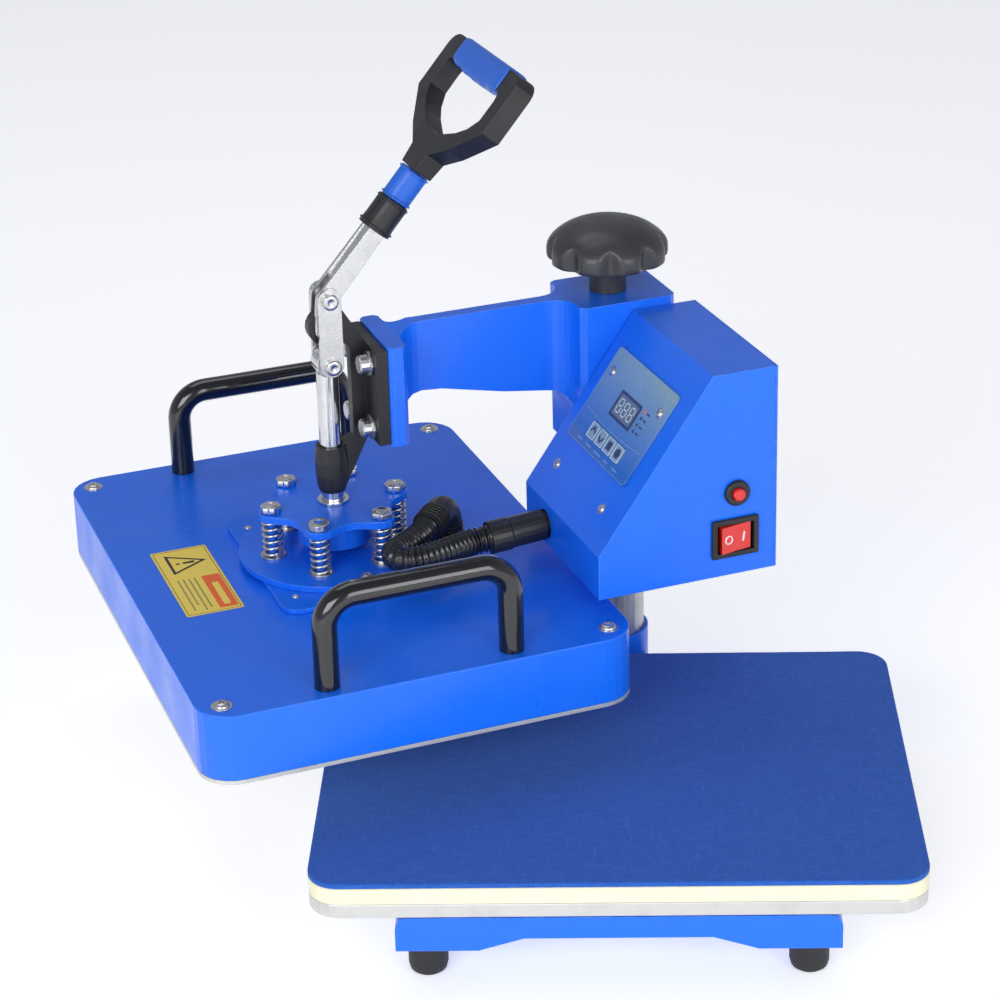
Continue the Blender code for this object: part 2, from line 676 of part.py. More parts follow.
def heating_head():
    pivot = head_point(REACH, 0.0, COVER_TOP)
    cover = head_slab("platen_cover", HEAD_X, HEAD_Y, 0.024, COVER_BOTTOM - 0.010, COVER_TOP)
    cover = bevel(cover, COVER_ROUND, 4, 60.0)
    foot = head_slab("foot", HEAD_X + 0.05, HEAD_Y + 0.05, 0.02, COVER_BOTTOM - 0.02, COVER_BOTTOM, 2)
    cover = cut(cover, foot)
    inside = head_slab("inside", HEAD_X - 2 * COVER_WALL, HEAD_Y - 2 * COVER_WALL, 0.022,
                       COVER_BOTTOM - 0.02, COVER_TOP - COVER_ROUND - 0.0005)
    cover = cut(cover, inside)
    margin = 2 * (COVER_ROUND + 0.001)
    crown = head_slab("crown", HEAD_X - margin, HEAD_Y - margin, 0.015, COVER_BOTTOM - 0.01,
                      COVER_TOP - COVER_WALL)
    cover = cut(cover, crown)
    finish(cover, BLUE, swing_frame, pivot)
    plate = head_slab("heating_plate", HEAD_X, HEAD_Y, 0.024, HEAT_BOTTOM, COVER_BOTTOM - GAP)
    core = head_slab("core", HEAD_X - 0.006, HEAD_Y - 0.006, 0.020, HEAT_BOTTOM + 0.001,
                     COVER_BOTTOM + 0.012)
    finish(combine(plate, core), ALUMINIUM, swing_frame, pivot)
    raised_low = COVER_TOP + GAP
    raised_top = raised_low + RAISED_T
    raised = head_slab("raised_plate", 0.154, 0.117, 0.012, raised_low, raised_top, 4)
    finish(raised, BLUE, swing_frame, pivot)
    disc_low = raised_top + GAP
    disc_top = disc_low + DISC_T
    disc = rod("mounting_disc", DISC_R, head_point(REACH, 0, disc_low),
               head_point(REACH, 0, disc_top), 48)
    for along, side in bolt_circle():
        stud = rod("stud", 0.0033, head_point(along, side, disc_low + 0.002),
                   head_point(along, side, PLATE_TOP + 0.003), 10)
        disc = combine(disc, stud)
        cap = rod("cap", 0.0068, head_point(along, side, PLATE_TOP + GAP),
                  head_point(along, side, PLATE_TOP + 0.0046), 6)
        disc = combine(disc, cap)
    finish(disc, BLUE, swing_frame, pivot)
    springs(disc_top + GAP, PLATE_TOP - PLATE_T - GAP)


def springs(low, high):
    per_turn = 9
    count = SPRING_TURNS * per_turn
    base = low + WIRE_R
    rise = high - low - 2 * WIRE_R
    for number, (along, side) in enumerate(bolt_circle(), 1):
        points = []
        for i in range(count + 1):
            angle = 2 * math.pi * i / per_turn
            centre = head_point(along, side, base + rise * i / count)
            points.append(centre + Vector((SPRING_R * math.cos(angle), SPRING_R * math.sin(angle), 0.0)))
        coil = tube(f"spring_{number}", points, WIRE_R, 1)
        finish(coil, ZINC, swing_frame, head_point(along, side, high))


def handle(name, side):
    """U-shaped tube handle that stands on the cover, parallel to the arm."""
    bend = 0.020
    low = COVER_TOP + GAP
    top = COVER_TOP + HANDLE_RISE
    near = REACH - HANDLE_HALF
    far = REACH + HANDLE_HALF
    outline = [(near, low), (near, (low + top) / 2)]
    outline += arc(near + bend, top - bend, bend, 180, 90, 6)
    outline += arc(far - bend, top - bend, bend, 90, 0, 6)
    outline += [(far, (low + top) / 2), (far, low)]
    bar = tube(name, [head_point(along, side, z) for along, z in outline], HANDLE_R, 4)
    finish(bar, GLOSS, swing_frame, head_point(REACH, side, COVER_TOP))


# --- control box -----------------------------------------------------------------------
SLOPE = Vector((BOX_KNEE - BOX_FRONT, BOX_TOP - BOX_LIP_TOP))
SLOPE_LENGTH = SLOPE.length
PANEL_SIDE = 0.093
PANEL_UP = 0.080
PANEL_W = 0.097
PANEL_H = 0.070
PANEL_T = 0.0012
ROCKER_AT = (-0.0214, 0.1294)
ROCKER_HALF = 0.0112        # leaves room in the bezel for the rocker to tilt
BUTTON_AT = (-0.0227, 0.1610)
HOSE_SIDE = 0.066
HOSE_Z = 0.113
KEY_PITCH = 0.0136
KEY_UP = 0.059
KEY_SIDE = 0.0945            # middle of the row of keys
INLET_SIDE = 0.070
INLET_Z = 0.130


def slope_axes():
    """Axes of the slanted face: x across, y up the slope, z outward, from its lower edge."""
    up = SLOPE.normalized()
    y_axis = Vector((0.0, -up.x, up.y))
    x_axis = Vector((1.0, 0.0, 0.0))
    place = Matrix((x_axis, y_axis, x_axis.cross(y_axis))).transposed().to_4x4()
    return Matrix.Translation(head_point(BOX_FRONT, 0.0, BOX_LIP_TOP)) @ place


def box_outline(inset, back):
    """Side view of the box, (along, z), drawn in by an inset, open towards the back."""
    slope = SLOPE.normalized()
    shift = Vector((-slope.y, slope.x)) * inset
    lower = Vector((BOX_FRONT, BOX_LIP_TOP)) + shift
    front = BOX_FRONT - inset
    lip_z = lower.y + (front - lower.x) * slope.y / slope.x
    top = BOX_TOP - inset
    knee = lower.x + (top - lower.y) * slope.x / slope.y
    return [(front, BOX_BOTTOM + inset), (front, lip_z), (knee, top), (back, top),
            (back, BOX_BOTTOM + inset)]


def control_box():
    shell = profile("control_box", [box_outline(0.0, BOX_BACK)], BOX_SIDE0, BOX_SIDE1)
    hollow = profile("hollow", [box_outline(SHEET, BOX_BACK - 0.01)],
                     BOX_SIDE0 + SHEET, BOX_SIDE1 - SHEET)
    shell = cut(shell, hollow)
    rocker_along, rocker_z = ROCKER_AT
    wall = BOX_SIDE1 - SHEET / 2
    shell = cut(shell, block("hole", (0.01, 0.0300, 0.0240), head_point(rocker_along, wall, rocker_z)))
    button_along, button_z = BUTTON_AT
    shell = cut(shell, rod("hole", 0.0072, head_point(button_along, wall - 0.005, button_z),
                           head_point(button_along, wall + 0.005, button_z), 20))
    shell = cut(shell, rod("hole", 0.0100, head_point(BOX_FRONT - 0.006, HOSE_SIDE, HOSE_Z + 0.003),
                           head_point(BOX_FRONT + 0.006, HOSE_SIDE, HOSE_Z + 0.003), 20))
    finish(shell, BLUE, swing_frame)
    mid_side = (BOX_SIDE0 + BOX_SIDE1) / 2
    mid_z = (BOX_BOTTOM + BOX_TOP) / 2
    back = block("box_back", (BOX_SIDE1 - BOX_SIDE0, SHEET, BOX_TOP - BOX_BOTTOM),
                 head_point(BOX_BACK - GAP - SHEET / 2, mid_side, mid_z))
    back = cut(back, block("hole", (0.0272, 0.01, 0.0202), head_point(BOX_BACK, INLET_SIDE, INLET_Z)))
    finish(back, BLUE, swing_frame)


def display_panel():
    """Film-faced panel with four key windows, and the board behind the slanted face."""
    axes = slope_axes()
    panel = prism("display_panel", [rounded(PANEL_W, PANEL_H, 0.003, 2)], GAP, GAP + PANEL_T)
    move(panel, (PANEL_SIDE, PANEL_UP, 0.0))
    for i in range(4):
        x = KEY_SIDE + (i - 1.5) * KEY_PITCH
        window = block("hole", (KEY + 0.0006, KEY + 0.0006, 0.01), (x, KEY_UP, 0.0))
        panel = cut(panel, window)
    panel.data.transform(axes)
    finish(panel, PANEL, swing_frame)
    for i in range(4):
        x = KEY_SIDE + (i - 1.5) * KEY_PITCH
        key = block(f"key_{i + 1}", (KEY, KEY, 0.0012), (x, KEY_UP, 0.0012 / 2 + 0.0010))
        key.data.transform(axes)
        pivot = axes @ Vector((x, KEY_UP, 0.001))
        finish(key, KEYCAP, swing_frame, pivot)
    board = block("controller_board", (0.090, 0.066, 0.0016), (PANEL_SIDE, PANEL_UP, -0.010))
    board.data.transform(axes)
    finish(board, BOARD, swing_frame)


def switches():
    along, z = ROCKER_AT
    face = BOX_SIDE1 + GAP
    bezel = block("switch_bezel", (0.0024, 0.0335, 0.0275), head_point(along, face + 0.0012, z))
    bezel = bevel(bezel, 0.0008, 1)
    sleeve = block("sleeve", (0.014, 0.0292, 0.0232), head_point(along, face - 0.0055, z))
    bezel = combine(bezel, sleeve)
    bezel = cut(bezel, block("hole", (0.030, 0.0262, 0.0202), head_point(along, face, z)))
    finish(bezel, BLACK, swing_frame)
    half = ROCKER_HALF
    shape = [(-half, 0.0008), (0.0, 0.0024), (half, 0.0050), (half * 0.9, -0.006), (-half * 0.9, -0.006)]
    spots = [(along + x, face + y) for x, y in shape]
    plan_axes = Matrix(((0, 1, 0, 0), (-1, 0, 0, 0), (0, 0, 1, 0), (0, 0, 0, 1)))
    rocker = prism("power_rocker", [spots], z - 0.0094, z + 0.0094, plan_axes)
    finish(rocker, RED, swing_frame, head_point(along, face - 0.003, z))
    along, z = BUTTON_AT
    ring = [(0.0048, 0.0030), (0.0080, 0.0030), (0.0088, 0.0022), (0.0088, 0.0), (0.0068, 0.0),
            (0.0068, -0.012), (0.0048, -0.012), (0.0048, 0.0030)]
    place = Matrix.Translation(head_point(along, face, z)) @ aim((1, 0, 0))
    bezel = turned("button_bezel", ring, 24)
    bezel.data.transform(place)
    finish(bezel, BLACK, swing_frame)
    cap = [(0.0, 0.0062), (0.0036, 0.0058), (0.0044, 0.0048), (0.0044, -0.010), (0.0, -0.010)]
    button = turned("reset_button", cap, 20)
    button.data.transform(place)
    finish(button, RED, swing_frame, head_point(along, face, z))


def power_inlet():
    """Inlet for the mains lead in the back cover, with its recess."""
    out = BOX_BACK - GAP - SHEET - GAP
    rim = block("power_inlet", (0.034, 0.003, 0.026), head_point(out - 0.0015, INLET_SIDE, INLET_Z))
    body = block("body", (0.0262, 0.0270, 0.0192), head_point(out + 0.0125, INLET_SIDE, INLET_Z))
    inlet = combine(rim, body)
    recess = block("recess", (0.0222, 0.0340, 0.0152), head_point(out, INLET_SIDE, INLET_Z))
    inlet = cut(inlet, recess)
    finish(inlet, BLACK, swing_frame)


# --- wiring conduit ----------------------------------------------------------------------
ELBOW_FOOT = (0.124, 0.004)
ELBOW_END = (0.1490, 0.0340)
ELBOW_R = 0.0103
CONNECTOR_END = 0.116


def conduit():
    """Connector on the box, hose with a tight turn, and the elbow on the cover."""
    z = HOSE_Z
    sleeve_z = z + 0.003
    shape = [(0.0, 0.0), (0.0112, 0.0), (0.0112, -0.0140), (0.0105, -0.0150), (0.0105, -0.039),
             (0.0086, -0.0395), (0.0086, -0.048), (0.0, -0.048)]
    connector = turned("conduit_connector", shape, 24)
    start = head_point(CONNECTOR_END, HOSE_SIDE, z)
    back = head_point(BOX_FRONT, HOSE_SIDE, sleeve_z)
    connector.data.transform(Matrix.Translation(start) @ aim(start - back))
    finish(connector, BLACK, swing_frame)
    direction = (start - back).normalized()
    first = start + direction * GAP
    end_along, end_side = ELBOW_END
    leg = Vector((ELBOW_END[0] - ELBOW_FOOT[0], ELBOW_END[1] - ELBOW_FOOT[1])).normalized()
    turn = [first + direction * 0.003, first + direction * 0.014, head_point(0.150, 0.0735, z),
            head_point(0.168, 0.0765, z), head_point(0.1800, 0.0725, z), head_point(0.1815, 0.0625, z),
            head_point(0.1705, 0.0545, z)]
    last = head_point(end_along + leg.x * GAP, end_side + leg.y * GAP, z)
    before = head_point(end_along + leg.x * 0.003, end_side + leg.y * 0.003, z)
    approach = head_point(end_along + leg.x * 0.010, end_side + leg.y * 0.010, z)
    route = [first, *smooth_route([*turn, approach, before], 0.006), last]
    finish(tube("conduit", route, HOSE_R, 2), RUBBER, swing_frame)
    foot_along, foot_side = ELBOW_FOOT
    low = COVER_TOP + GAP
    bend = 0.013
    points = [head_point(foot_along, foot_side, low)]
    for i in range(7):
        angle = math.radians(90 * i / 6)
        run = bend * (1 - math.cos(angle))
        rise = z - bend + bend * math.sin(angle)
        points.append(head_point(foot_along + leg.x * run, foot_side + leg.y * run, rise))
    points.append(head_point(end_along, end_side, z))
    finish(tube("conduit_elbow", points, ELBOW_R, 3), BLACK, swing_frame, head_point(REACH, 0, COVER_TOP))


frame_top = lower_stack()
pad_bottom = base_frame(frame_top)
feet(pad_bottom)
column(frame_top)
lift_post()
adjusting_knob()
swing_arm()
toggle_bracket()
lever_arm()
lever_grip()
links()
plunger()
spring_plate()
heating_head()
handle("handle_near", HANDLE_SIDE)
handle("handle_far", -HANDLE_SIDE)
control_box()
display_panel()
switches()
power_inlet()
conduit()
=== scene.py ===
"""Looks for a swing-away heat press: materials, soft pads, hose, springs, screws and panel.

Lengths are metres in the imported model's frame.  The swinging head is described in its
own axes: "along" runs from the column to the plunger, "side" across the arm towards the
control box.
"""
import json
import math

import bmesh
import bpy
from mathutils import Matrix, Vector, noise


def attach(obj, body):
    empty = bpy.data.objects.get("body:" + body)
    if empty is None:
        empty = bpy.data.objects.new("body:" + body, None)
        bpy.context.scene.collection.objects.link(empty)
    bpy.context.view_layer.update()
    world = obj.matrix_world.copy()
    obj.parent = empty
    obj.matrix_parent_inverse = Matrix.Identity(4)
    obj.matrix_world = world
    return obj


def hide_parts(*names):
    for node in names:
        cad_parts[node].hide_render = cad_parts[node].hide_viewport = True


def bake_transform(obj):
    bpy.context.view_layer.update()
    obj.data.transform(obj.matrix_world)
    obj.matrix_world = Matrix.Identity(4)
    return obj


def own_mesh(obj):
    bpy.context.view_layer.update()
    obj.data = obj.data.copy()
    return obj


# --- the frame's dimensions -------------------------------------------------------
REACH = 0.2036               # column axis to plunger axis
SWING = math.radians(-67.8)  # the head's turn about the column in the frame
PLATEN_X, PLATEN_Y, PLATEN_CORNER = 0.380, 0.290, 0.020
FELT_T = 0.0032
SILICONE_TOP, SILICONE_LOW = -0.0035, -0.0142
FLOOR_Z = -0.075
COVER_TOP = 0.089
RAISED_TOP = 0.0923
DISC_TOP = 0.0966
COVER_SCREW = (0.129, 0.174)  # along and side, from the plunger axis
PLATE_SCREW = (0.046, 0.057)
SPRING_LOW, SPRING_HIGH = 0.0969, 0.1237
SPRING_R, SPRING_CIRCLE, SPRING_COUNT = 0.006, 0.044, 6
BOLT_LOW, BOLT_HIGH = 0.1294, 0.1340
BOX_FRONT, BOX_LIP_TOP, BOX_KNEE, BOX_TOP = 0.075, 0.1325, -0.006, 0.2455
BOX_BACK, BOX_SIDE = -0.050, 0.160
BACK_FACE = BOX_BACK - 0.0018
HOSE_R, HOSE_SIDE, HOSE_Z = 0.0093, 0.066, 0.113
ELBOW = (0.124, 0.004)       # foot of the hose's elbow, along and side
ELBOW_MOUTH = (0.149, 0.034)
HANDLE_R, HANDLE_SIDE, HANDLE_HALF = 0.0083, 0.176, 0.0615
HANDLE_BEND, HANDLE_RISE = 0.020, 0.061
KNOB_R, KNOB_TOP, KNOB_LOBES, KNOB_FLUTE = 0.0425, 0.3020, 9, 0.0062
KNOB_NECK_R, KNOB_HOLE_R, KNOB_FOOT = 0.0128, 0.0063, 0.2516
CRANK_Z, LINK_FOOT_Z = 0.2775, 0.2310
LINK_FACE = 0.0130           # outer face of the links' pin heads, from the middle
GRIP_BAR = (0.1762, 0.1934)  # inner and outer edge of the grip's top bar, from the crank pin
PANEL_SIDE, PANEL_UP = 0.094, 0.0840
KEY_SIDE, KEY_UP, KEY_PITCH = 0.0945, 0.059, 0.0136
ROCKER_ALONG, ROCKER_Z = -0.0214, 0.1294

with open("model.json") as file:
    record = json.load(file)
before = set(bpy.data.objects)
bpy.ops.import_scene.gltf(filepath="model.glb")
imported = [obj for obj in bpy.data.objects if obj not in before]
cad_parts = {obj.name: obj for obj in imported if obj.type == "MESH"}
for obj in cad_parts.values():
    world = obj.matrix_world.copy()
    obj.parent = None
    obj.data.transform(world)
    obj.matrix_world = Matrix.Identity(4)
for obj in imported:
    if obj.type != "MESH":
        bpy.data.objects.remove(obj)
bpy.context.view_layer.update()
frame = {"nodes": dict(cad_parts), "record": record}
HEAD = Matrix.Translation((0.0, REACH, 0.0)) @ Matrix.Rotation(SWING, 4, "Z")


def head_point(along, side, z):
    """A point of the head, in the head's own axes."""
    return Vector((side, -along, z))


def polar(radius, angle, z):
    return Vector((radius * math.cos(angle), radius * math.sin(angle), z))


def spring_axis(number):
    """Foot of one spring's axis; they stand on a circle round the plunger."""
    angle = math.radians(360 / SPRING_COUNT * number)
    return head_point(REACH + SPRING_CIRCLE * math.cos(angle), SPRING_CIRCLE * math.sin(angle), 0.0)


# --- materials --------------------------------------------------------------------
class Look:
    """Procedural material laid out in object-space metres."""

    def __init__(self, name, colour, roughness, metallic=0.0, **sockets):
        self.mat = bpy.data.materials.new(name)
        self.mat.use_nodes = True
        self.tree = self.mat.node_tree
        self.shader = self.tree.nodes["Principled BSDF"]
        self.colour = (*colour, 1.0)
        self.normal = None
        self.shader.inputs["Base Color"].default_value = self.colour
        self.shader.inputs["Roughness"].default_value = roughness
        self.shader.inputs["Metallic"].default_value = metallic
        for socket, value in sockets.items():
            self.shader.inputs[socket.replace("_", " ")].default_value = value
        self.coords = self.node("ShaderNodeTexCoord").outputs["Object"]

    def node(self, kind, **settings):
        made = self.tree.nodes.new(kind)
        for key, value in settings.items():
            setattr(made, key, value)
        return made

    def feed(self, socket, value):
        if isinstance(value, bpy.types.NodeSocket):
            self.tree.links.new(value, socket)
        else:
            socket.default_value = value

    def noise(self, scale, detail=3.0, stretch=None, distortion=0.0):
        """Noise of about one feature per 1/scale metres."""
        vector = self.coords
        if stretch:
            mapping = self.node("ShaderNodeMapping")
            self.feed(mapping.inputs["Vector"], vector)
            mapping.inputs["Scale"].default_value = stretch
            vector = mapping.outputs[0]
        texture = self.node("ShaderNodeTexNoise")
        self.feed(texture.inputs["Vector"], vector)
        texture.inputs["Scale"].default_value = scale
        texture.inputs["Detail"].default_value = detail
        texture.inputs["Distortion"].default_value = distortion
        return texture.outputs[0]

    def cells(self, scale, feature="F1"):
        texture = self.node("ShaderNodeTexVoronoi", feature=feature)
        self.feed(texture.inputs["Vector"], self.coords)
        texture.inputs["Scale"].default_value = scale
        return texture.outputs[0]

    def span(self, value, low, high, to_low=0.0, to_high=1.0):
        """value, stretched from low..high to a new range and held inside it."""
        node = self.node("ShaderNodeMapRange")
        self.feed(node.inputs["Value"], value)
        for socket, number in zip(("From Min", "From Max", "To Min", "To Max"),
                                  (low, high, to_low, to_high)):
            node.inputs[socket].default_value = number
        return node.outputs[0]

    def math(self, operation, a, b=0.0):
        node = self.node("ShaderNodeMath", operation=operation, use_clamp=True)
        self.feed(node.inputs[0], a)
        self.feed(node.inputs[1], b)
        return node.outputs[0]

    def tint(self, factor, colour):
        """Mixes a second colour over what is there."""
        node = self.node("ShaderNodeMix", data_type="RGBA")
        self.feed(node.inputs[0], factor)
        self.feed(node.inputs[6], self.colour)
        self.feed(node.inputs[7], (*colour, 1.0))
        self.colour = node.outputs[2]
        self.feed(self.shader.inputs["Base Color"], self.colour)
        return self

    def rough(self, value, low, high):
        self.feed(self.shader.inputs["Roughness"], self.span(value, 0.3, 0.7, low, high))
        return self

    def bump(self, height, distance, strength=1.0):
        node = self.node("ShaderNodeBump")
        node.inputs["Strength"].default_value = strength
        node.inputs["Distance"].default_value = distance
        self.feed(node.inputs["Height"], height)
        if self.normal:
            self.feed(node.inputs["Normal"], self.normal)
        self.normal = node.outputs[0]
        self.feed(self.shader.inputs["Normal"], self.normal)
        return self

    def soft_edges(self, radius):
        """Rounds every edge in shading, and returns how near an edge is, 0 to 1."""
        bevel = self.node("ShaderNodeBevel", samples=6)
        bevel.inputs["Radius"].default_value = radius
        self.normal = bevel.outputs[0]
        self.feed(self.shader.inputs["Normal"], self.normal)
        plain = self.node("ShaderNodeNewGeometry").outputs["Normal"]
        dot = self.node("ShaderNodeVectorMath", operation="DOT_PRODUCT")
        self.feed(dot.inputs[0], bevel.outputs[0])
        self.feed(dot.inputs[1], plain)
        return self.span(dot.outputs["Value"], 0.995, 0.90)


def paint(name, colour, shade, glow, roughness=0.28, edge=0.0008):
    """Powder coat: faint orange peel, cloudy tone, painted highlight along the edges broken up by
    wear.
    """
    look = Look(name, colour, roughness, 0.0, Coat_Weight=0.12, Coat_Roughness=0.12,
                Specular_IOR_Level=0.38)
    near_edge = look.soft_edges(edge)
    look.tint(look.span(look.noise(9.0, 4.0), 0.35, 0.75, 0.0, 0.45), shade)
    # Next two lines: a painted highlight in the glow colour along the edges, broken up by a wear
    # noise.
    worn = look.span(look.noise(160.0), 0.35, 0.7, 0.1, 0.75)
    look.tint(look.math("MULTIPLY", near_edge, worn), glow)
    specks = look.span(look.noise(1400.0, 1.0), 0.70, 0.78, 0.0, 0.2)
    look.tint(specks, shade)
    look.rough(look.noise(28.0, 5.0), roughness - 0.06, roughness + 0.10)
    return look.bump(look.noise(620.0, 1.0), 0.00005, 0.4)


def metal(name, colour, roughness, grain_stretch=None, dark=0.5, metallic=1.0):
    """Bare or plated metal with fine scratches and cloudy oxide."""
    look = Look(name, colour, roughness, metallic)
    near_edge = look.soft_edges(0.0004)
    stain = tuple(c * dark for c in colour)
    look.tint(look.span(look.noise(85.0, 5.0), 0.48, 0.80, 0.0, 0.55), stain)
    look.tint(look.math("MULTIPLY", near_edge, 0.35), tuple(min(1.0, c * 1.15) for c in colour))
    grain = look.noise(900.0, 3.0, grain_stretch or (1.0, 1.0, 0.12))
    look.rough(grain, roughness - 0.05, roughness + 0.13)
    return look.bump(grain, 0.00003, 0.5)


def plastic(name, colour, roughness, grain, depth, light, coat=0.0):
    """Moulded plastic or enamel with a fine grain, finger-worn tone and pale edges."""
    look = Look(name, colour, roughness, 0.0, Coat_Weight=coat, Coat_Roughness=0.08)
    near_edge = look.soft_edges(0.0006)
    look.tint(look.span(look.noise(40.0, 5.0), 0.45, 0.78, 0.0, 0.4), light)
    look.tint(look.math("MULTIPLY", near_edge, 0.45), light)
    look.rough(look.noise(60.0, 5.0), roughness - 0.06, roughness + 0.10)
    return look.bump(look.noise(grain, 2.0), depth, 0.6)


def felt():
    """Pressed wool felt: short crossed fibres, pills and a worn middle."""
    look = Look("felt_fibre", (0.022, 0.100, 0.44), 0.95, 0.0, Sheen_Weight=0.12,
                Sheen_Roughness=0.45, Specular_IOR_Level=0.15)
    fibre_a = look.noise(520.0, 5.0, (1.0, 0.16, 1.0), 1.4)
    fibre_b = look.noise(520.0, 5.0, (0.16, 1.0, 1.0), 1.4)
    fibre = look.math("MAXIMUM", fibre_a, fibre_b)
    look.tint(look.span(fibre, 0.50, 0.72, 0.0, 0.55), (0.042, 0.165, 0.62))
    look.tint(look.span(look.noise(1500.0, 2.0), 0.60, 0.74, 0.0, 0.65), (0.010, 0.035, 0.17))
    look.tint(look.span(look.noise(14.0, 5.0), 0.45, 0.75, 0.0, 0.35), (0.030, 0.125, 0.50))
    look.bump(fibre, 0.0006, 0.8)
    return look.bump(look.noise(1500.0, 3.0), 0.00035, 0.7)


def silicone():
    """Cream silicone sponge: closed pores and a slightly yellowed skin."""
    look = Look("silicone_sponge", (0.80, 0.79, 0.56), 0.62, 0.0, Subsurface_Weight=0.15,
                Subsurface_Scale=0.004)
    pores = look.cells(900.0)
    look.tint(look.span(pores, 0.30, 0.10, 0.0, 0.35), (0.66, 0.60, 0.40))
    look.tint(look.span(look.noise(22.0, 4.0), 0.45, 0.75, 0.0, 0.4), (0.86, 0.84, 0.64))
    look.rough(look.noise(80.0), 0.5, 0.72)
    return look.bump(pores, 0.00018, 0.6)


def film(name, low, high, low_at, high_at, roughness=0.22):
    """Film whose tone changes from the low colour to the high one up the slanted face."""
    look = Look(name, low, roughness, 0.0, Coat_Weight=0.5, Coat_Roughness=0.1)
    split = look.node("ShaderNodeSeparateXYZ")
    look.feed(split.inputs[0], look.coords)
    look.tint(look.span(split.outputs[2], low_at, high_at), high)
    grain = look.span(look.noise(700.0, 2.0), 0.55, 0.75, 0.0, 0.2)
    look.tint(grain, tuple(c * 0.7 for c in low))
    look.rough(look.noise(50.0, 4.0), roughness - 0.05, roughness + 0.1)
    return look.bump(look.noise(1200.0, 2.0), 0.00002, 0.5)


def ink(name, colour, roughness=0.4, glow=0.0):
    """Printed or lit marking with a slightly uneven edge tone."""
    look = Look(name, colour, roughness, 0.0, Emission_Color=(*colour, 1.0), Emission_Strength=glow)
    uneven = look.span(look.noise(2200.0, 2.0), 0.5, 0.8, 0.0, 0.3)
    look.tint(uneven, tuple(c * 0.75 for c in colour))
    return look.bump(look.noise(2500.0, 1.0), 0.00001, 0.4)


BLUE = (0.004, 0.146, 0.86)
LOOKS = {
    # The last colour of each paint is its glow: a painted highlight along the edges.
    "blue_paint": paint("blue_powder_coat", BLUE, (0.012, 0.135, 0.72), (0.16, 0.40, 0.98)),
    "blue_grip": paint("blue_grip_rubber", (0.015, 0.125, 0.60), (0.010, 0.09, 0.50),
                       (0.08, 0.25, 0.8), 0.42),
    "blue_felt": felt(),
    "cream_silicone": silicone(),
    "aluminium": metal("satin_aluminium", (0.64, 0.64, 0.61), 0.42, (0.05, 1.0, 1.0), 0.8, 0.75),
    "grey_steel": metal("turned_steel", (0.50, 0.51, 0.51), 0.34, (1.0, 1.0, 0.03), 0.7),
    "chrome": metal("polished_chrome", (0.68, 0.68, 0.69), 0.12, (1.0, 1.0, 0.05), 0.75),
    "zinc": metal("zinc_plate", (0.62, 0.62, 0.61), 0.27, (0.25, 0.25, 1.0), 0.72),
    "black_plastic": plastic("black_moulded", (0.011, 0.011, 0.012), 0.42, 1500.0, 0.00005,
                             (0.030, 0.030, 0.031)),
    "black_casting": plastic("black_cast_paint", (0.012, 0.012, 0.013), 0.38, 420.0, 0.00022,
                             (0.035, 0.035, 0.037)),
    "black_gloss": plastic("black_enamel", (0.005, 0.005, 0.006), 0.13, 150.0, 0.00016,
                           (0.012, 0.012, 0.013), 0.6),
    "black_rubber": plastic("black_rubber", (0.012, 0.012, 0.013), 0.6, 700.0, 0.0001,
                            (0.03, 0.03, 0.03)),
    "panel_film": film("panel_film", (0.012, 0.125, 0.49), (0.22, 0.36, 0.44), 0.175, 0.225),
    "key_film": film("key_film", (0.24, 0.38, 0.46), (0.20, 0.34, 0.46), 0.17, 0.20, 0.35),
    "red_switch": plastic("red_lens", (0.70, 0.012, 0.008), 0.18, 900.0, 0.00002,
                          (0.85, 0.06, 0.03), 0.5),
    "circuit_board": plastic("solder_mask", (0.01, 0.16, 0.05), 0.4, 500.0, 0.00008,
                             (0.05, 0.28, 0.10)),
}
# The knob's black is lighter than black_plastic: painted sheen for the broad highlight on its dome.
KNOB_SHEEN_LOOK = plastic("knob_painted_sheen", (0.030, 0.030, 0.031), 0.42, 1500.0, 0.00003,
                    (0.060, 0.060, 0.062), 0.15)
HOSE_LOOK = plastic("hose_plastic", (0.008, 0.008, 0.009), 0.24, 500.0, 0.00004,
                    (0.022, 0.022, 0.023), 0.3)
DARK = ink("dark_print", (0.012, 0.013, 0.015), 0.3)
YELLOW = ink("yellow_label", (0.88, 0.66, 0.10), 0.35)
ORANGE = ink("orange_label", (0.86, 0.13, 0.015), 0.35)
GREY_PRINT = ink("grey_print", (0.30, 0.26, 0.10), 0.4)
PALE = ink("pale_print", (0.72, 0.82, 0.88), 0.35)
DIGIT = ink("lit_digit", (0.50, 0.60, 0.62), 0.3, 0.08)
RIM = ink("dark_rim", (0.035, 0.050, 0.11), 0.3)
LINE = ink("pale_line", (0.16, 0.36, 0.70), 0.35)
WINDOW = ink("display_window", (0.130, 0.175, 0.240), 0.14)
WHITE_MARK = ink("white_mark", (0.85, 0.80, 0.78), 0.4)
BRASS = metal("brass_pin", (0.80, 0.62, 0.30), 0.3)

for row in frame["record"]["subparts"]:
    mesh = frame["nodes"][row["node"]].data
    mesh.materials.clear()
    mesh.materials.append(LOOKS[row["material_slot"]].mat)


# --- mesh tools -------------------------------------------------------------------
def add(name, mesh, look, body, place=None, smooth=40.0):
    """A new piece of the object, set in place and riding on a body."""
    obj = bpy.data.objects.new(name, mesh)
    bpy.context.scene.collection.objects.link(obj)
    obj.matrix_world = place or Matrix()
    if not mesh.materials:
        mesh.materials.append(look.mat)
    mesh.shade_smooth()
    mesh.set_sharp_from_angle(angle=math.radians(smooth))
    if body:
        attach(obj, body)
    return obj


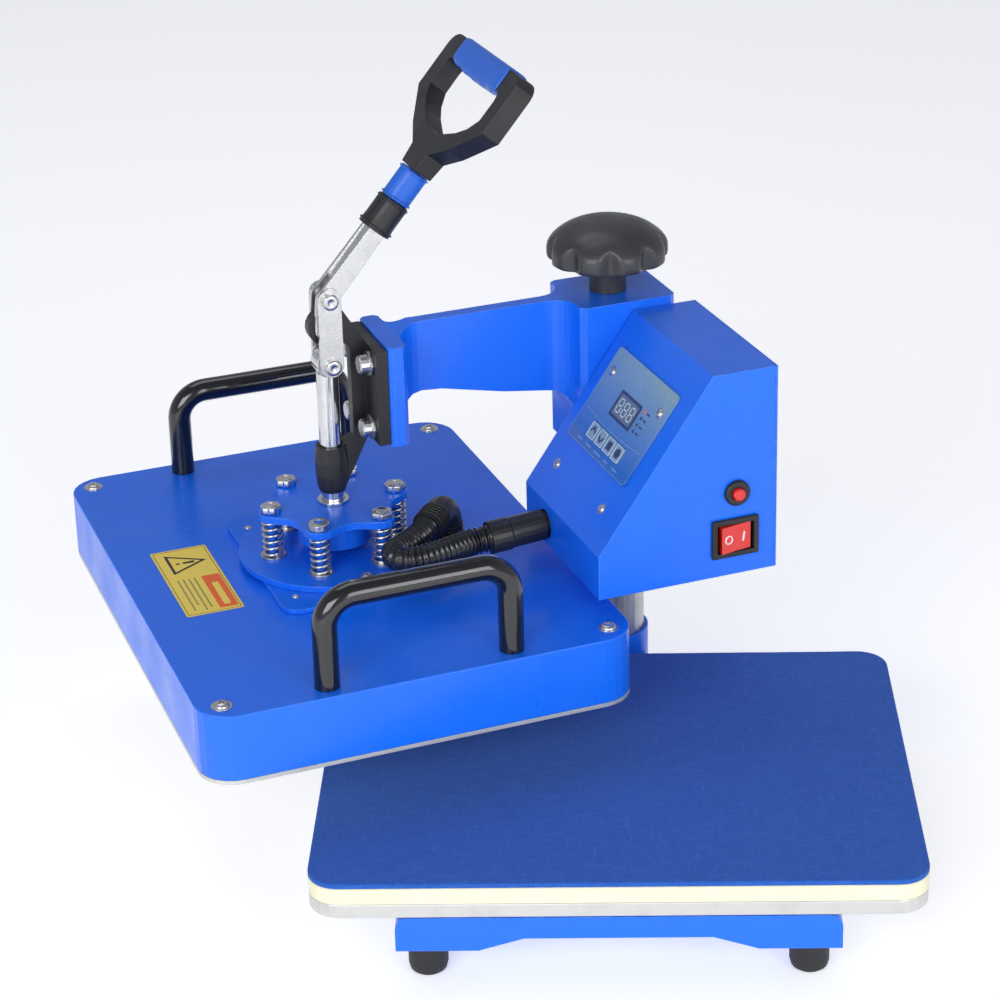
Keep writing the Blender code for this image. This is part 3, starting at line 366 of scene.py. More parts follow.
def lathe(name, profile, steps=32):
    """Mesh of a (radius, z) profile turned about Z."""
    bm = bmesh.new()
    rings = []
    for radius, z in profile:
        if radius < 1e-7:
            rings.append([bm.verts.new((0.0, 0.0, z))])
        else:
            rings.append([bm.verts.new(polar(radius, 2 * math.pi * i / steps, z))
                          for i in range(steps)])
    for low, high in zip(rings, rings[1:]):
        for i in range(steps):
            corners = [low[i % len(low)], low[(i + 1) % len(low)], high[(i + 1) % len(high)],
                       high[i % len(high)]]
            unique = list(dict.fromkeys(corners))
            if len(unique) > 2:
                bm.faces.new(unique)
    return meshed(name, bm)


def meshed(name, bm):
    bmesh.ops.recalc_face_normals(bm, faces=bm.faces)
    mesh = bpy.data.meshes.new(name)
    bm.to_mesh(mesh)
    bm.free()
    return mesh


def slab(name, outline, z0, z1, bevel=0.0, segments=2):
    """Mesh of a flat outline between two heights, its rims rounded."""
    bm = bmesh.new()
    base = [bm.verts.new((x, y, z0)) for x, y in outline]
    face = bm.faces.new(base)
    grown = bmesh.ops.extrude_face_region(bm, geom=[face])
    tops = [g for g in grown["geom"] if isinstance(g, bmesh.types.BMVert)]
    bmesh.ops.translate(bm, vec=(0.0, 0.0, z1 - z0), verts=tops)
    if bevel:
        rims = [e for e in bm.edges if abs(e.verts[0].co.z - e.verts[1].co.z) < 1e-9]
        bmesh.ops.bevel(bm, geom=rims, offset=bevel, segments=segments, profile=0.5, affect="EDGES")
    return meshed(name, bm)


def rounded(width, depth, radius, count=5, centre=(0.0, 0.0)):
    points = []
    x, y = width / 2 - radius, depth / 2 - radius
    for cx, cy, start in ((x, y, 0), (-x, y, 90), (-x, -y, 180), (x, -y, 270)):
        for i in range(count + 1):
            angle = math.radians(start + 90 * i / count)
            points.append((centre[0] + cx + radius * math.cos(angle),
                           centre[1] + cy + radius * math.sin(angle)))
    return points


def sweep(name, route, radius_at, sides=16, caps=True):
    """Tube along a route of points, radius_at(length so far) thick, without twist."""
    bm = bmesh.new()
    rings = []
    length = 0.0
    tangent = (route[1] - route[0]).normalized()
    normal = tangent.orthogonal().normalized()
    for i, point in enumerate(route):
        ahead = route[min(i + 1, len(route) - 1)] - route[max(i - 1, 0)]
        turn = tangent.rotation_difference(ahead.normalized())
        tangent = ahead.normalized()
        normal = (turn @ normal).normalized()
        side = tangent.cross(normal)
        length += (point - route[max(i - 1, 0)]).length
        radius = radius_at(length)
        rings.append([bm.verts.new(point + radius * (normal * math.cos(2 * math.pi * k / sides)
                                                     + side * math.sin(2 * math.pi * k / sides)))
                      for k in range(sides)])
    for low, high in zip(rings, rings[1:]):
        for k in range(sides):
            bm.faces.new((low[k], low[(k + 1) % sides], high[(k + 1) % sides], high[k]))
    if caps:
        bm.faces.new(rings[0])
        bm.faces.new(rings[-1])
    return meshed(name, bm)


def smooth_route(controls, step):
    """Points about a step apart on a Catmull-Rom curve through the controls."""
    controls = [Vector(c) for c in controls]
    padded = [2 * controls[0] - controls[1], *controls, 2 * controls[-1] - controls[-2]]
    points = [controls[0]]
    for i in range(1, len(padded) - 2):
        p0, p1, p2, p3 = padded[i - 1:i + 3]
        count = max(1, round((p2 - p1).length / step))
        for k in range(1, count + 1):
            t = k / count
            points.append(0.5 * (2 * p1 + (p2 - p0) * t + (2 * p0 - 5 * p1 + 4 * p2 - p3) * t * t
                                 + (3 * p1 - p0 - 3 * p2 + p3) * t * t * t))
    return points


def facing(point, normal):
    """Placement in the head that turns +Z to the normal."""
    turn = Vector((0.0, 0.0, 1.0)).rotation_difference(Vector(normal)).to_matrix().to_4x4()
    return HEAD @ Matrix.Translation(point) @ turn


# --- soft pads --------------------------------------------------------------------
def pad(name, low, high, corner_soft, lumps, columns, rows):
    """Rounded-corner pad with soft rims; lumps is the height of its uneven surface."""
    bm = bmesh.new()
    half_x, half_y = PLATEN_X / 2, PLATEN_Y / 2
    flat_x, flat_y = half_x - PLATEN_CORNER, half_y - PLATEN_CORNER

    def spread(i, count, half):
        return half * math.sin(math.pi * (i / count - 0.5))

    def placed(x, y):
        over_x, over_y = abs(x) - flat_x, abs(y) - flat_y
        if over_x <= 0 or over_y <= 0:
            return x, y, min(half_x - abs(x), half_y - abs(y))
        reach = max(over_x, over_y)
        size = math.hypot(over_x, over_y)
        new_x = math.copysign(flat_x + over_x / size * reach, x)
        new_y = math.copysign(flat_y + over_y / size * reach, y)
        return new_x, new_y, PLATEN_CORNER - reach

    grids = {}
    for top in (True, False):
        for i in range(columns + 1):
            for j in range(rows + 1):
                x, y, inside = placed(spread(i, columns, half_x), spread(j, rows, half_y))
                if top:
                    fall = max(0.0, 1.0 - inside / corner_soft)
                    ripple = noise.noise(Vector((x, y, low)) * 45.0) * 0.5
                    ripple += noise.noise(Vector((x, y, high)) * 210.0) * 0.5
                    dip = corner_soft * (1 - math.sqrt(max(0.0, 1 - fall * fall)))
                    z = high - lumps * (0.5 + ripple) - dip
                else:
                    z = low
                grids[top, i, j] = bm.verts.new((x, y, z))
    for i in range(columns):
        for j in range(rows):
            cell = ((i, j), (i + 1, j), (i + 1, j + 1), (i, j + 1))
            bm.faces.new([grids[True, a, b] for a, b in cell])
            bm.faces.new([grids[False, a, b] for a, b in (cell[0], *cell[:0:-1])])
    rim = [(i, 0) for i in range(columns)] + [(columns, j) for j in range(rows)]
    rim += [(i, rows) for i in range(columns, 0, -1)] + [(0, j) for j in range(rows, 0, -1)]
    for a, b in zip(rim, rim[1:] + rim[:1]):
        bm.faces.new((grids[False, *a], grids[False, *b], grids[True, *b], grids[True, *a]))
    return meshed(name, bm)


felt_piece = add("felt_blanket", pad("felt_blanket", -FELT_T, 0.0, 0.0011, 0.00022, 150, 120),
                 LOOKS["blue_felt"], "base", None, 70.0)
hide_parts("felt_pad")
silicone_mesh = pad("silicone_sheet", SILICONE_LOW, SILICONE_TOP, 0.0016, 0.00012, 90, 70)
silicone_piece = add("silicone_sheet", silicone_mesh, LOOKS["cream_silicone"], "base", None, 70.0)
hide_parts("silicone_pad")


# --- hose, elbow and springs ------------------------------------------------------
def hose():
    """Corrugated hose from the box to the cover."""
    start = head_point(0.116, HOSE_SIDE, HOSE_Z)
    direction = (start - head_point(BOX_FRONT, HOSE_SIDE, HOSE_Z + 0.003)).normalized()
    last = Vector(ELBOW_MOUTH)
    leg = (last - Vector(ELBOW)).normalized()
    turn = [start, start + direction * 0.014, head_point(0.150, 0.0735, HOSE_Z),
            head_point(0.168, 0.0765, HOSE_Z), head_point(0.1800, 0.0725, HOSE_Z),
            head_point(0.1815, 0.0625, HOSE_Z), head_point(0.1705, 0.0545, HOSE_Z),
            head_point(last.x + leg.x * 0.010, last.y + leg.y * 0.010, HOSE_Z),
            head_point(last.x, last.y, HOSE_Z)]
    route = smooth_route(turn, 0.0006)
    pitch = 0.0037

    def ribs(length):
        wave = 0.5 + 0.5 * math.cos(2 * math.pi * length / pitch)
        return HOSE_R * (0.82 + 0.18 * wave ** 0.7)

    route = [HEAD @ p for p in route]
    piece = add("corrugated_hose", sweep("corrugated_hose", route, ribs, 22),
                HOSE_LOOK, None, None, 50.0)
    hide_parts("conduit")
    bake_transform(piece)


def elbow_ribs():
    """Raised rings round the foot and the mouth of the elbow."""
    foot = head_point(*ELBOW, 0.0)
    for i in range(4):
        z = 0.0905 + 0.0028 * i
        mesh = sweep(f"elbow_ring_{i}", ring_route(0.0104, z, 28), lambda _: 0.0009, 8, False)
        add(f"elbow_ring_{i}", mesh, LOOKS["black_plastic"], "heater",
            HEAD @ Matrix.Translation(foot))
    leg = (head_point(*ELBOW_MOUTH, 0.0) - foot).normalized()
    for i in range(5):
        centre = head_point(*ELBOW_MOUTH, HOSE_Z) - leg * (0.003 + 0.0035 * i)
        mesh = sweep(f"elbow_cuff_{i}", ring_route(0.0104, 0.0, 28), lambda _: 0.0008, 8, False)
        add(f"elbow_cuff_{i}", mesh, LOOKS["black_plastic"], "heater", facing(centre, leg))


def ring_route(radius, z, count):
    """Closed route round the Z axis, its last point on its first."""
    return [polar(radius, 2 * math.pi * i / count, z) for i in range(count + 1)]


def springs():
    """Coils of round wire with closed ends."""
    wire = 0.0012
    turns = 6.6
    count = 240
    low, high = SPRING_LOW + wire, SPRING_HIGH - wire
    for number in range(SPRING_COUNT):
        centre = spring_axis(number)
        points = []
        for i in range(count + 1):
            share = i / count
            eased = min(1.0, max(0.0, (share - 0.10) / 0.80))
            z = low + (high - low) * eased
            z += 0.0009 * (min(share, 0.1) - 0.1 + max(share, 0.9) - 0.9)
            points.append(centre + polar(SPRING_R, 2 * math.pi * turns * share + number, z))
        mesh = sweep(f"coil_{number + 1}", points, lambda _: wire, 10)
        coil = add(f"coil_{number + 1}", mesh, LOOKS["zinc"], "plunger", HEAD, 60.0)
        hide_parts(f"spring_{number + 1}")
        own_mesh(coil)


hose()
elbow_ribs()
springs()


# --- screws -----------------------------------------------------------------------
def cross_screw(name):
    """Pan head with a cross recess and a washer; the head's radius is 1."""
    profile = [(0.0, 0.46), (0.30, 0.455), (0.62, 0.40), (0.86, 0.27), (0.97, 0.12), (1.0, 0.0),
               (1.28, 0.0), (1.30, -0.03), (1.30, -0.10), (0.0, -0.10)]
    head = bpy.data.objects.new(name, lathe(name, profile, 40))
    bpy.context.scene.collection.objects.link(head)
    bm = bmesh.new()
    for turn in (0.0, math.pi / 2):
        made = bmesh.ops.create_cube(bm, size=1.0)
        bmesh.ops.scale(bm, vec=(1.05, 0.17, 0.5), verts=made["verts"])
        bmesh.ops.translate(bm, vec=(0.0, 0.0, 0.45), verts=made["verts"])
        bmesh.ops.rotate(bm, matrix=Matrix.Rotation(turn, 3, "Z"), verts=made["verts"])
    tool = bpy.data.objects.new("cross", meshed("cross", bm))
    bpy.context.scene.collection.objects.link(tool)
    change = head.modifiers.new("recess", "BOOLEAN")
    change.operation = "DIFFERENCE"
    change.solver = "EXACT"
    change.use_self = True
    change.object = tool
    bpy.context.view_layer.update()
    cut = head.evaluated_get(bpy.context.evaluated_depsgraph_get())
    mesh = bpy.data.meshes.new_from_object(cut)
    bpy.data.objects.remove(head)
    bpy.data.objects.remove(tool)
    return mesh


SCREW = cross_screw("cross_screw")


def screw(name, body, point, normal, radius, turn):
    """A cross screw in the head's axes, its washer lying on the point."""
    place = facing(point, normal) @ Matrix.Rotation(math.radians(turn), 4, "Z")
    place = place @ Matrix.Translation((0, 0, 0.1 * radius))
    place = place @ Matrix.Diagonal((radius, radius, radius, 1.0))
    add(name, SCREW.copy(), LOOKS["zinc"], body, place, 35.0)


for index, (along, side) in enumerate(((-1, -1), (-1, 1), (1, -1), (1, 1))):
    spot = head_point(REACH + COVER_SCREW[0] * along, COVER_SCREW[1] * side, COVER_TOP)
    screw(f"cover_screw_{index}", "heater", spot, (0, 0, 1), 0.0052, 20 + 33 * index)
    spot = head_point(REACH + PLATE_SCREW[0] * along, PLATE_SCREW[1] * side, RAISED_TOP)
    screw(f"plate_screw_{index}", "heater", spot, (0, 0, 1), 0.0021, 50 * index)
for index, side in enumerate((0.0565, -0.0565)):
    screw(f"disc_screw_{index}", "heater", head_point(REACH - 0.004, side, DISC_TOP), (0, 0, 1),
          0.0042, 40 * index)


# --- spring bolts: heads and seats ------------------------------------------------
def bolt_heads():
    """Plated heads that cap the six studs: one round with a socket, the rest hexagons."""
    hexagon = [(0.0075 * math.cos(math.radians(60 * i)), 0.0075 * math.sin(math.radians(60 * i)))
               for i in range(6)]
    cap = [(0.0, 0.1312), (0.0030, 0.1312), (0.0030, 0.1341), (0.0060, 0.1341), (0.0069, 0.1331),
           (0.0069, BOLT_LOW), (0.0, BOLT_LOW)]
    dimple = [(0.0, 0.1336), (0.0020, 0.1339), (0.0034, 0.1345), (0.0044, 0.1346),
              (0.0052, 0.1340), (0.0052, 0.1330), (0.0, 0.1330)]
    washer = [(0.0040, 0.0), (0.0088, 0.0), (0.0088, 0.0010), (0.0040, 0.0010), (0.0040, 0.0)]
    zinc = LOOKS["zinc"]
    for number in range(SPRING_COUNT):
        spot = spring_axis(number)
        place = HEAD @ Matrix.Translation(spot) @ Matrix.Rotation(0.4 * number, 4, "Z")
        name = f"spring_bolt_{number}"
        if number == 1:
            add(name, lathe(name, cap, 36), zinc, "heater", place, 35.0)
        else:
            mesh = slab(name, hexagon, BOLT_LOW, BOLT_HIGH, 0.0009, 3)
            add(name, mesh, zinc, "heater", place, 35.0)
            name = f"bolt_dimple_{number}"
            add(name, lathe(name, dimple, 28), zinc, "heater", place, 35.0)
        low = HEAD @ Matrix.Translation(spot + Vector((0, 0, DISC_TOP + 0.0001)))
        name = f"spring_seat_{number}"
        add(name, lathe(name, washer, 32), zinc, "heater", low)


bolt_heads()


# --- handles: bent tube in a glossy black sleeve ----------------------------------
def handle(name, node, side):
    """Bent tube in a sleeve that is a little uneven along its length."""
    low, top = COVER_TOP + 0.0003, COVER_TOP + HANDLE_RISE
    near, far = REACH - HANDLE_HALF, REACH + HANDLE_HALF
    leg, span = top - HANDLE_BEND - low, far - near - 2 * HANDLE_BEND

    def bend(centre, start):
        angles = [math.radians(start - 5 * i) for i in range(19)]
        return [head_point(centre + HANDLE_BEND * math.cos(a), side,
                           top - HANDLE_BEND + HANDLE_BEND * math.sin(a)) for a in angles]

    route = [head_point(near, side, low + leg * i / 12) for i in range(12)]
    route += bend(near + HANDLE_BEND, 180)
    route += [head_point(near + HANDLE_BEND + span * i / 24, side, top) for i in range(1, 24)]
    route += bend(far - HANDLE_BEND, 90)
    route += [head_point(far, side, low + leg * (1 - i / 12)) for i in range(1, 13)]

    def sleeve(length):
        return HANDLE_R * (1.0 - 0.012 * (1.0 + noise.noise(Vector((length * 70.0, side, 0.0)))))

    mesh = sweep(name, route, sleeve, 30)
    piece = add(name, mesh, LOOKS["black_gloss"], "heater", HEAD, 60.0)
    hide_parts(node)


handle("handle_sleeve_near", "handle_near", HANDLE_SIDE)
handle("handle_sleeve_far", "handle_far", -HANDLE_SIDE)


# --- adjusting knob ---------------------------------------------------------------
def knob_cap():
    """Moulded knob: shallow dome whose skirt is fluted into nine soft lobes."""
    low = KNOB_FOOT - KNOB_TOP
    outer = [(0.0, 0.0), (0.012, -0.0006), (0.022, -0.0026), (0.031, -0.0066), (0.038, -0.0120),
             (0.0416, -0.0172), (KNOB_R, -0.0212), (0.0424, -0.0250), (0.0412, -0.0272),
             (0.0390, -0.0280)]
    dome = smooth_route([(r, 0.0, z) for r, z in outer], 0.0014)
    under = [(0.0352, -0.0280), (0.0340, -0.0215), (0.0330, -0.0200), (0.0140, -0.0185),
             (KNOB_NECK_R, -0.0200), (KNOB_NECK_R, low), (KNOB_HOLE_R, low),
             (KNOB_HOLE_R, low + 0.018), (0.0, low + 0.018)]
    steps = KNOB_LOBES * 18

    def fluted(radius, angle):
        """The radius kept inside the fluted wall, with the corner between them rounded."""
        wall = KNOB_R - KNOB_FLUTE * (0.5 - 0.5 * math.cos(KNOB_LOBES * angle)) ** 2
        overlap = max(0.0, 0.0022 - abs(radius - wall))
        return min(radius, wall) - overlap * overlap / 0.0088

    bm = bmesh.new()
    rings = []
    for radius, z, shape in ([(p.x, p.z, fluted) for p in dome]
                             + [(r, z, lambda r, _: r) for r, z in under]):
        angles = [2 * math.pi * i / steps for i in range(steps if radius > 1e-6 else 1)]
        rings.append([bm.verts.new(polar(shape(radius, a), a, KNOB_TOP + z)) for a in angles])
    for upper, lower in zip(rings, rings[1:]):
        for i in range(steps):
            corners = [upper[i % len(upper)], upper[(i + 1) % len(upper)],
                       lower[(i + 1) % len(lower)], lower[i % len(lower)]]
            bm.faces.new(list(dict.fromkeys(corners)))
    piece = add("knob_cap", meshed("knob_cap", bm), KNOB_SHEEN_LOOK, "knob", HEAD, 50.0)
    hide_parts("adjusting_knob")


knob_cap()


# --- lever: grip wrap, rings on the sleeve and turned pin heads -------------------
LEVER_LEAN = math.radians(40.5)
CRANK_ALONG = REACH - 0.0012


def lever_axes():
    """Axes of the handle: x across, y up along the lever, z out of its broad face."""
    y_axis = Vector((0.0, math.sin(LEVER_LEAN), math.cos(LEVER_LEAN)))
    x_axis = Vector((1.0, 0.0, 0.0))
    place = Matrix((x_axis, y_axis, x_axis.cross(y_axis))).transposed().to_4x4()
    return HEAD @ Matrix.Translation(head_point(CRANK_ALONG, 0.0, CRANK_Z)) @ place


def lever_details():
    """Moulded rings on the sleeve and round pin heads with a turned centre."""
    upright = Matrix.Rotation(math.radians(-90), 4, "X")
    rings = ((0.0575, 0.0120, "black_plastic"), (0.0765, 0.0113, "black_plastic"),
             (0.0800, 0.0106, "blue_grip"), (0.1005, 0.0106, "blue_grip"))
    for i, (station, radius, look) in enumerate(rings):
        place = lever_axes() @ upright @ Matrix.Translation((0.0, 0.0, station))
        mesh = sweep(f"sleeve_ring_{i}", ring_route(radius, 0.0, 32), lambda _: 0.0007, 8, False)
        add(f"sleeve_ring_{i}", mesh, LOOKS[look], "lever", place, 60.0)
    head = [(0.0, 0.0012), (0.0018, 0.0012), (0.0022, 0.0016), (0.0046, 0.0015), (0.0054, 0.0008),
            (0.0054, 0.0), (0.0, 0.0)]
    for name, z, side in (("crank_head", CRANK_Z, 1), ("crank_head_far", CRANK_Z, -1),
                          ("link_foot_head", LINK_FOOT_Z, 1),
                          ("link_foot_head_far", LINK_FOOT_Z, -1)):
        place = facing(head_point(CRANK_ALONG, LINK_FACE * side, z), (side, 0, 0))
        add(name, lathe(name, head, 32), LOOKS["zinc"], "link", place, 50.0)


def grip_wrap():
    """Soft sleeve round the grip's top bar, waved towards the fingers."""
    half, count, sides = 0.0405, 90, 36
    bm = bmesh.new()
    rings = []
    for i in range(count + 1):
        x = -half + 2 * half * i / count
        end = max(0.0, (abs(x) - half + 0.0030) / 0.0030)
        swell = math.sqrt(max(0.0, 1.0 - end * end)) * 0.0016 - 0.0006
        bow = 0.0022 * (1.0 - (x / half) ** 2) + 0.00055 * math.cos(x / half * math.pi * 5.0)
        low, high = GRIP_BAR[0] - swell - bow, GRIP_BAR[1] + swell
        middle, rise, thick = (low + high) / 2, (high - low) / 2, 0.0080 + swell
        ring = []
        for k in range(sides):
            angle = 2 * math.pi * k / sides
            c, d = math.cos(angle), math.sin(angle)
            ring.append(bm.verts.new((x, middle + rise * math.copysign(abs(c) ** 0.38, c),
                                      thick * math.copysign(abs(d) ** 0.38, d))))
        rings.append(ring)
    for low_ring, high_ring in zip(rings, rings[1:]):
        for k in range(sides):
            n = (k + 1) % sides
            bm.faces.new((low_ring[k], low_ring[n], high_ring[n], high_ring[k]))
    bm.faces.new(rings[0])
    bm.faces.new(rings[-1])
    piece = add("grip_wrap", meshed("grip_wrap", bm), LOOKS["blue_grip"], "lever", lever_axes(),
                60.0)
    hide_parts("grip_insert")


lever_details()
grip_wrap()


# --- label on the cover -----------------------------------------------------------
def label():
    """Plain yellow notice: a triangle, an orange bar and rows of small grey blocks."""
    base = HEAD @ Matrix.Translation(head_point(0.3025, 0.001, COVER_TOP + 0.00012))
    width, depth = 0.101, 0.039
    centre = -0.028
    sheet = slab("label_sheet", rounded(width, depth, 0.0015, 3), 0.0, 0.0002)
    add("label_sheet", sheet, YELLOW, "heater", base)

    def mark(name, outline, look, level):
        add(name, slab(name, outline, 0.0002, 0.0002 + level * 0.00004), look, "heater", base)

    def triangle(size):
        angles = [math.radians(a) for a in (90, 210, 330)]
        return [(centre + size * math.cos(a), -0.003 + size * math.sin(a)) for a in angles]

    mark("label_triangle", triangle(0.0175), DARK, 1)
    mark("label_triangle_inner", triangle(0.0135), YELLOW, 2)
    stroke = [(centre - 0.0012, -0.002), (centre + 0.0012, -0.002), (centre + 0.0016, 0.006),
              (centre - 0.0016, 0.006)]
    mark("label_stroke", stroke, DARK, 3)
    mark("label_dot", rounded(0.0026, 0.0026, 0.0012, 4, (centre, -0.0055)), DARK, 3)
    mark("label_bar", rounded(0.050, 0.0125, 0.001, 2, (0.021, 0.0105)), ORANGE, 1)
    mark("label_bar_block", rounded(0.034, 0.0045, 0.0006, 2, (0.025, 0.0105)), YELLOW, 2)
    for i, w in enumerate((0.046, 0.049, 0.040, 0.047)):
        middle = (0.021 + (w - 0.049) / 2, -0.0005 - 0.0038 * i)
        mark(f"label_row_{i}", rounded(w, 0.0011, 0.0004, 2, middle), GREY_PRINT, 1)
    border = [rounded(width - 0.003, depth - 0.003, 0.001, 3),
              rounded(width - 0.0038, depth - 0.0038, 0.0008, 3)]
    frame_line("label_border", border, base, DARK, "heater", 0.0002, 0.00024)


def frame_line(name, outlines, place, look, body, z0, z1):
    """Thin closed line between two outlines of as many points."""
    bm = bmesh.new()
    outer, inner = outlines
    rows = []
    for z in (z0, z1):
        rows.append([bm.verts.new((x, y, z)) for x, y in outer])
        rows.append([bm.verts.new((x, y, z)) for x, y in inner])
    count = len(outer)
    for i in range(count):
        k = (i + 1) % count
        for a, b in ((0, 1), (1, 3), (3, 2), (2, 0)):
            bm.faces.new((rows[a][i], rows[a][k], rows[b][k], rows[b][i]))
    add(name, meshed(name, bm), look, body, place)


label()


# --- control box front ------------------------------------------------------------
SLOPE = Vector((BOX_KNEE - BOX_FRONT, BOX_TOP - BOX_LIP_TOP)).normalized()


def slope_axes():
    """Axes of the slanted face: x across, y up the slope, z outward."""
    y_axis = Vector((0.0, -SLOPE.x, SLOPE.y))
    x_axis = Vector((1.0, 0.0, 0.0))
    place = Matrix((x_axis, y_axis, x_axis.cross(y_axis))).transposed().to_4x4()
    return Matrix.Translation(head_point(BOX_FRONT, 0.0, BOX_LIP_TOP)) @ place


FACE = HEAD @ slope_axes()
OUT = (slope_axes().to_3x3() @ Vector((0, 0, 1)))
PANEL_FACE = 0.0015


def seven_segments(name, place, look, size):
    """The figure eight of a seven-part digit."""
    w, h, t = size, size * 1.75, size * 0.17
    bars = [(0, h / 2, w - t, t), (0, 0, w - t, t), (0, -h / 2, w - t, t),
            (-w / 2, h / 4, t, h / 2 - t), (w / 2, h / 4, t, h / 2 - t),
            (-w / 2, -h / 4, t, h / 2 - t), (w / 2, -h / 4, t, h / 2 - t)]
    bm = bmesh.new()
    for x, y, bw, bh in bars:
        cut = min(bw, bh) * 0.4
        left, right, foot, head = x - bw / 2, x + bw / 2, y - bh / 2, y + bh / 2
        points = [(left + cut, foot), (right - cut, foot), (right, foot + cut), (right, head - cut),
                  (right - cut, head), (left + cut, head), (left, head - cut), (left, foot + cut)]
        low = [bm.verts.new((px, py, 0.0)) for px, py in points]
        high = [bm.verts.new((px, py, 0.00012)) for px, py in points]
        bm.faces.new(high)
        bm.faces.new(low[::-1])
        for i in range(len(points)):
            k = (i + 1) % len(points)
            bm.faces.new((low[i], low[k], high[k], high[i]))
    add(name, meshed(name, bm), look, "arm", place)


def panel():
    """Display window with its digits, lamps, curve and border on the panel's film."""
    side, up = PANEL_SIDE, PANEL_UP
    face = FACE @ Matrix.Translation((0.0, 0.0, PANEL_FACE + 0.00003))
    shown = FACE @ Matrix.Translation((side, up, PANEL_FACE))
    border = [rounded(0.0325, 0.0190, 0.0010, 3), rounded(0.0290, 0.0155, 0.0006, 3)]
    frame_line("display_rim", border, shown, RIM, "arm", 0.0, 0.0005)
    add("display_glass", slab("display_glass", border[1], 0.0, 0.00025), WINDOW, "arm", shown)
    for i in range(3):
        place = shown @ Matrix.Translation((-0.0088 + 0.0088 * i, 0.0, 0.00027))
        seven_segments(f"digit_{i}", place, DIGIT, 0.0055)
    lamp = [(0.0, 0.0006), (0.0009, 0.0004), (0.0013, 0.0), (0.0, 0.0)]
    for i in range(4):
        spot = face @ Matrix.Translation((side + 0.0215, up + 0.0080 - 0.0050 * i, 0.0))
        add(f"lamp_{i}", lathe(f"lamp_{i}", lamp, 16), RIM if i else ORANGE, "arm", spot)
        bar = slab(f"lamp_bar_{i}", rounded(0.0048, 0.0011, 0.0004, 2), 0.0, 0.00008)
        add(f"lamp_bar_{i}", bar, RIM, "arm", spot @ Matrix.Translation((0.0055, 0.0, 0.0)))
    curve = []
    for i in range(25):
        share = i / 24
        x = side - 0.044 + 0.088 * share
        curve.append(Vector((x, up - 0.0152 - 0.0022 * math.sin(math.pi * share), 0.0001)))
    add("panel_curve", sweep("panel_curve", curve, lambda _: 0.00032, 8), LINE, "arm", face)
    middle = (0.093, 0.080)
    rim = [rounded(0.0955, 0.0685, 0.0025, 3, middle), rounded(0.0949, 0.0679, 0.0022, 3, middle)]
    frame_line("panel_border", rim, face, LINE, "arm", 0.0, 0.00006)
    for i in range(5):
        bar = rounded(0.007 + 0.002 * (i % 3), 0.0009, 0.0003, 2)
        spot = face @ Matrix.Translation((0.063 + 0.0145 * i, 0.0492, 0.0))
        add(f"panel_mark_{i}", slab(f"panel_mark_{i}", bar, 0.0, 0.00006), LINE, "arm", spot)


def key_symbols():
    """Chevrons, a square and a disc on the keys, as plain raised ink, each in a pale rim."""
    chevron = [(-0.0035, -0.002), (0.0, 0.0015), (0.0035, -0.002), (0.0035, 0.0005), (0.0, 0.0040),
               (-0.0035, 0.0005)]
    shapes = (chevron, [(x, -y) for x, y in chevron], rounded(0.0062, 0.0062, 0.0008, 2),
              rounded(0.0070, 0.0070, 0.00349, 6))
    rim = [rounded(0.0110, 0.0110, 0.0010, 3), rounded(0.0102, 0.0102, 0.0008, 3)]
    for i, outline in enumerate(shapes):
        spot = FACE @ Matrix.Translation((KEY_SIDE + (i - 1.5) * KEY_PITCH, KEY_UP, 0.00222))
        body = f"key_{'abcd'[i]}"
        add(f"key_symbol_{i}", slab(f"key_symbol_{i}", outline, 0.0, 0.0001), RIM, body, spot)
        frame_line(f"key_rim_{i}", rim, spot, PALE, body, 0.0, 0.0002)


panel()
key_symbols()
for index in range(4):
    up, side = (0.0980, 0.0245)[index // 2], (0.0535, 0.1312)[index % 2]
    spot = slope_axes() @ Vector((side, up, PANEL_FACE if index < 2 else 0.0))
    screw(f"face_screw_{index}", "arm", spot, OUT, 0.0030, 25 * index)
for index in range(4):
    z, side = (0.235, 0.112)[index // 2], (0.152, 0.040)[index % 2]
    spot = head_point(BACK_FACE, side, z)
    screw(f"back_screw_{index}", "arm", spot, (0, 1, 0), 0.0030, 60 * index)


# --- switch marks and inlet pins --------------------------------------------------
def rocker_place(along, rise, tilt):
    """Placement on the rocker's bent face, tilted in degrees about the vertical."""
    normal = Vector((math.cos(math.radians(tilt)), math.sin(math.radians(tilt)), 0.0))
    return facing(head_point(ROCKER_ALONG + along, BOX_SIDE + 0.0003 + rise, ROCKER_Z), normal)


def switch_marks():
    """A stroke and a ring, the usual on and off marks, on the rocker's face."""
    mesh = slab("rocker_stroke", rounded(0.0070, 0.0012, 0.0005, 2), -0.0002, 0.0003)
    add("rocker_stroke", mesh, WHITE_MARK, "rocker", rocker_place(-0.0058, 0.0016, 8.1))
    mesh = sweep("rocker_ring", ring_route(0.0027, 0.0001, 28), lambda _: 0.0005, 8, False)
    add("rocker_ring", mesh, WHITE_MARK, "rocker", rocker_place(0.0058, 0.0038, 13.1))


def inlet_pins():
    """Three flat pins in the power inlet on the back of the box."""
    for i, (side, z) in enumerate(((0.0635, 0.1275), (0.0765, 0.1275), (0.070, 0.1330))):
        place = facing(head_point(BACK_FACE + 0.004, side, z), (0, 1, 0))
        mesh = slab(f"inlet_pin_{i}", rounded(0.0022, 0.0042, 0.0004, 2), -0.016, -0.0005, 0.0003)
        add(f"inlet_pin_{i}", mesh, BRASS, "arm", place)


switch_marks()
inlet_pins()


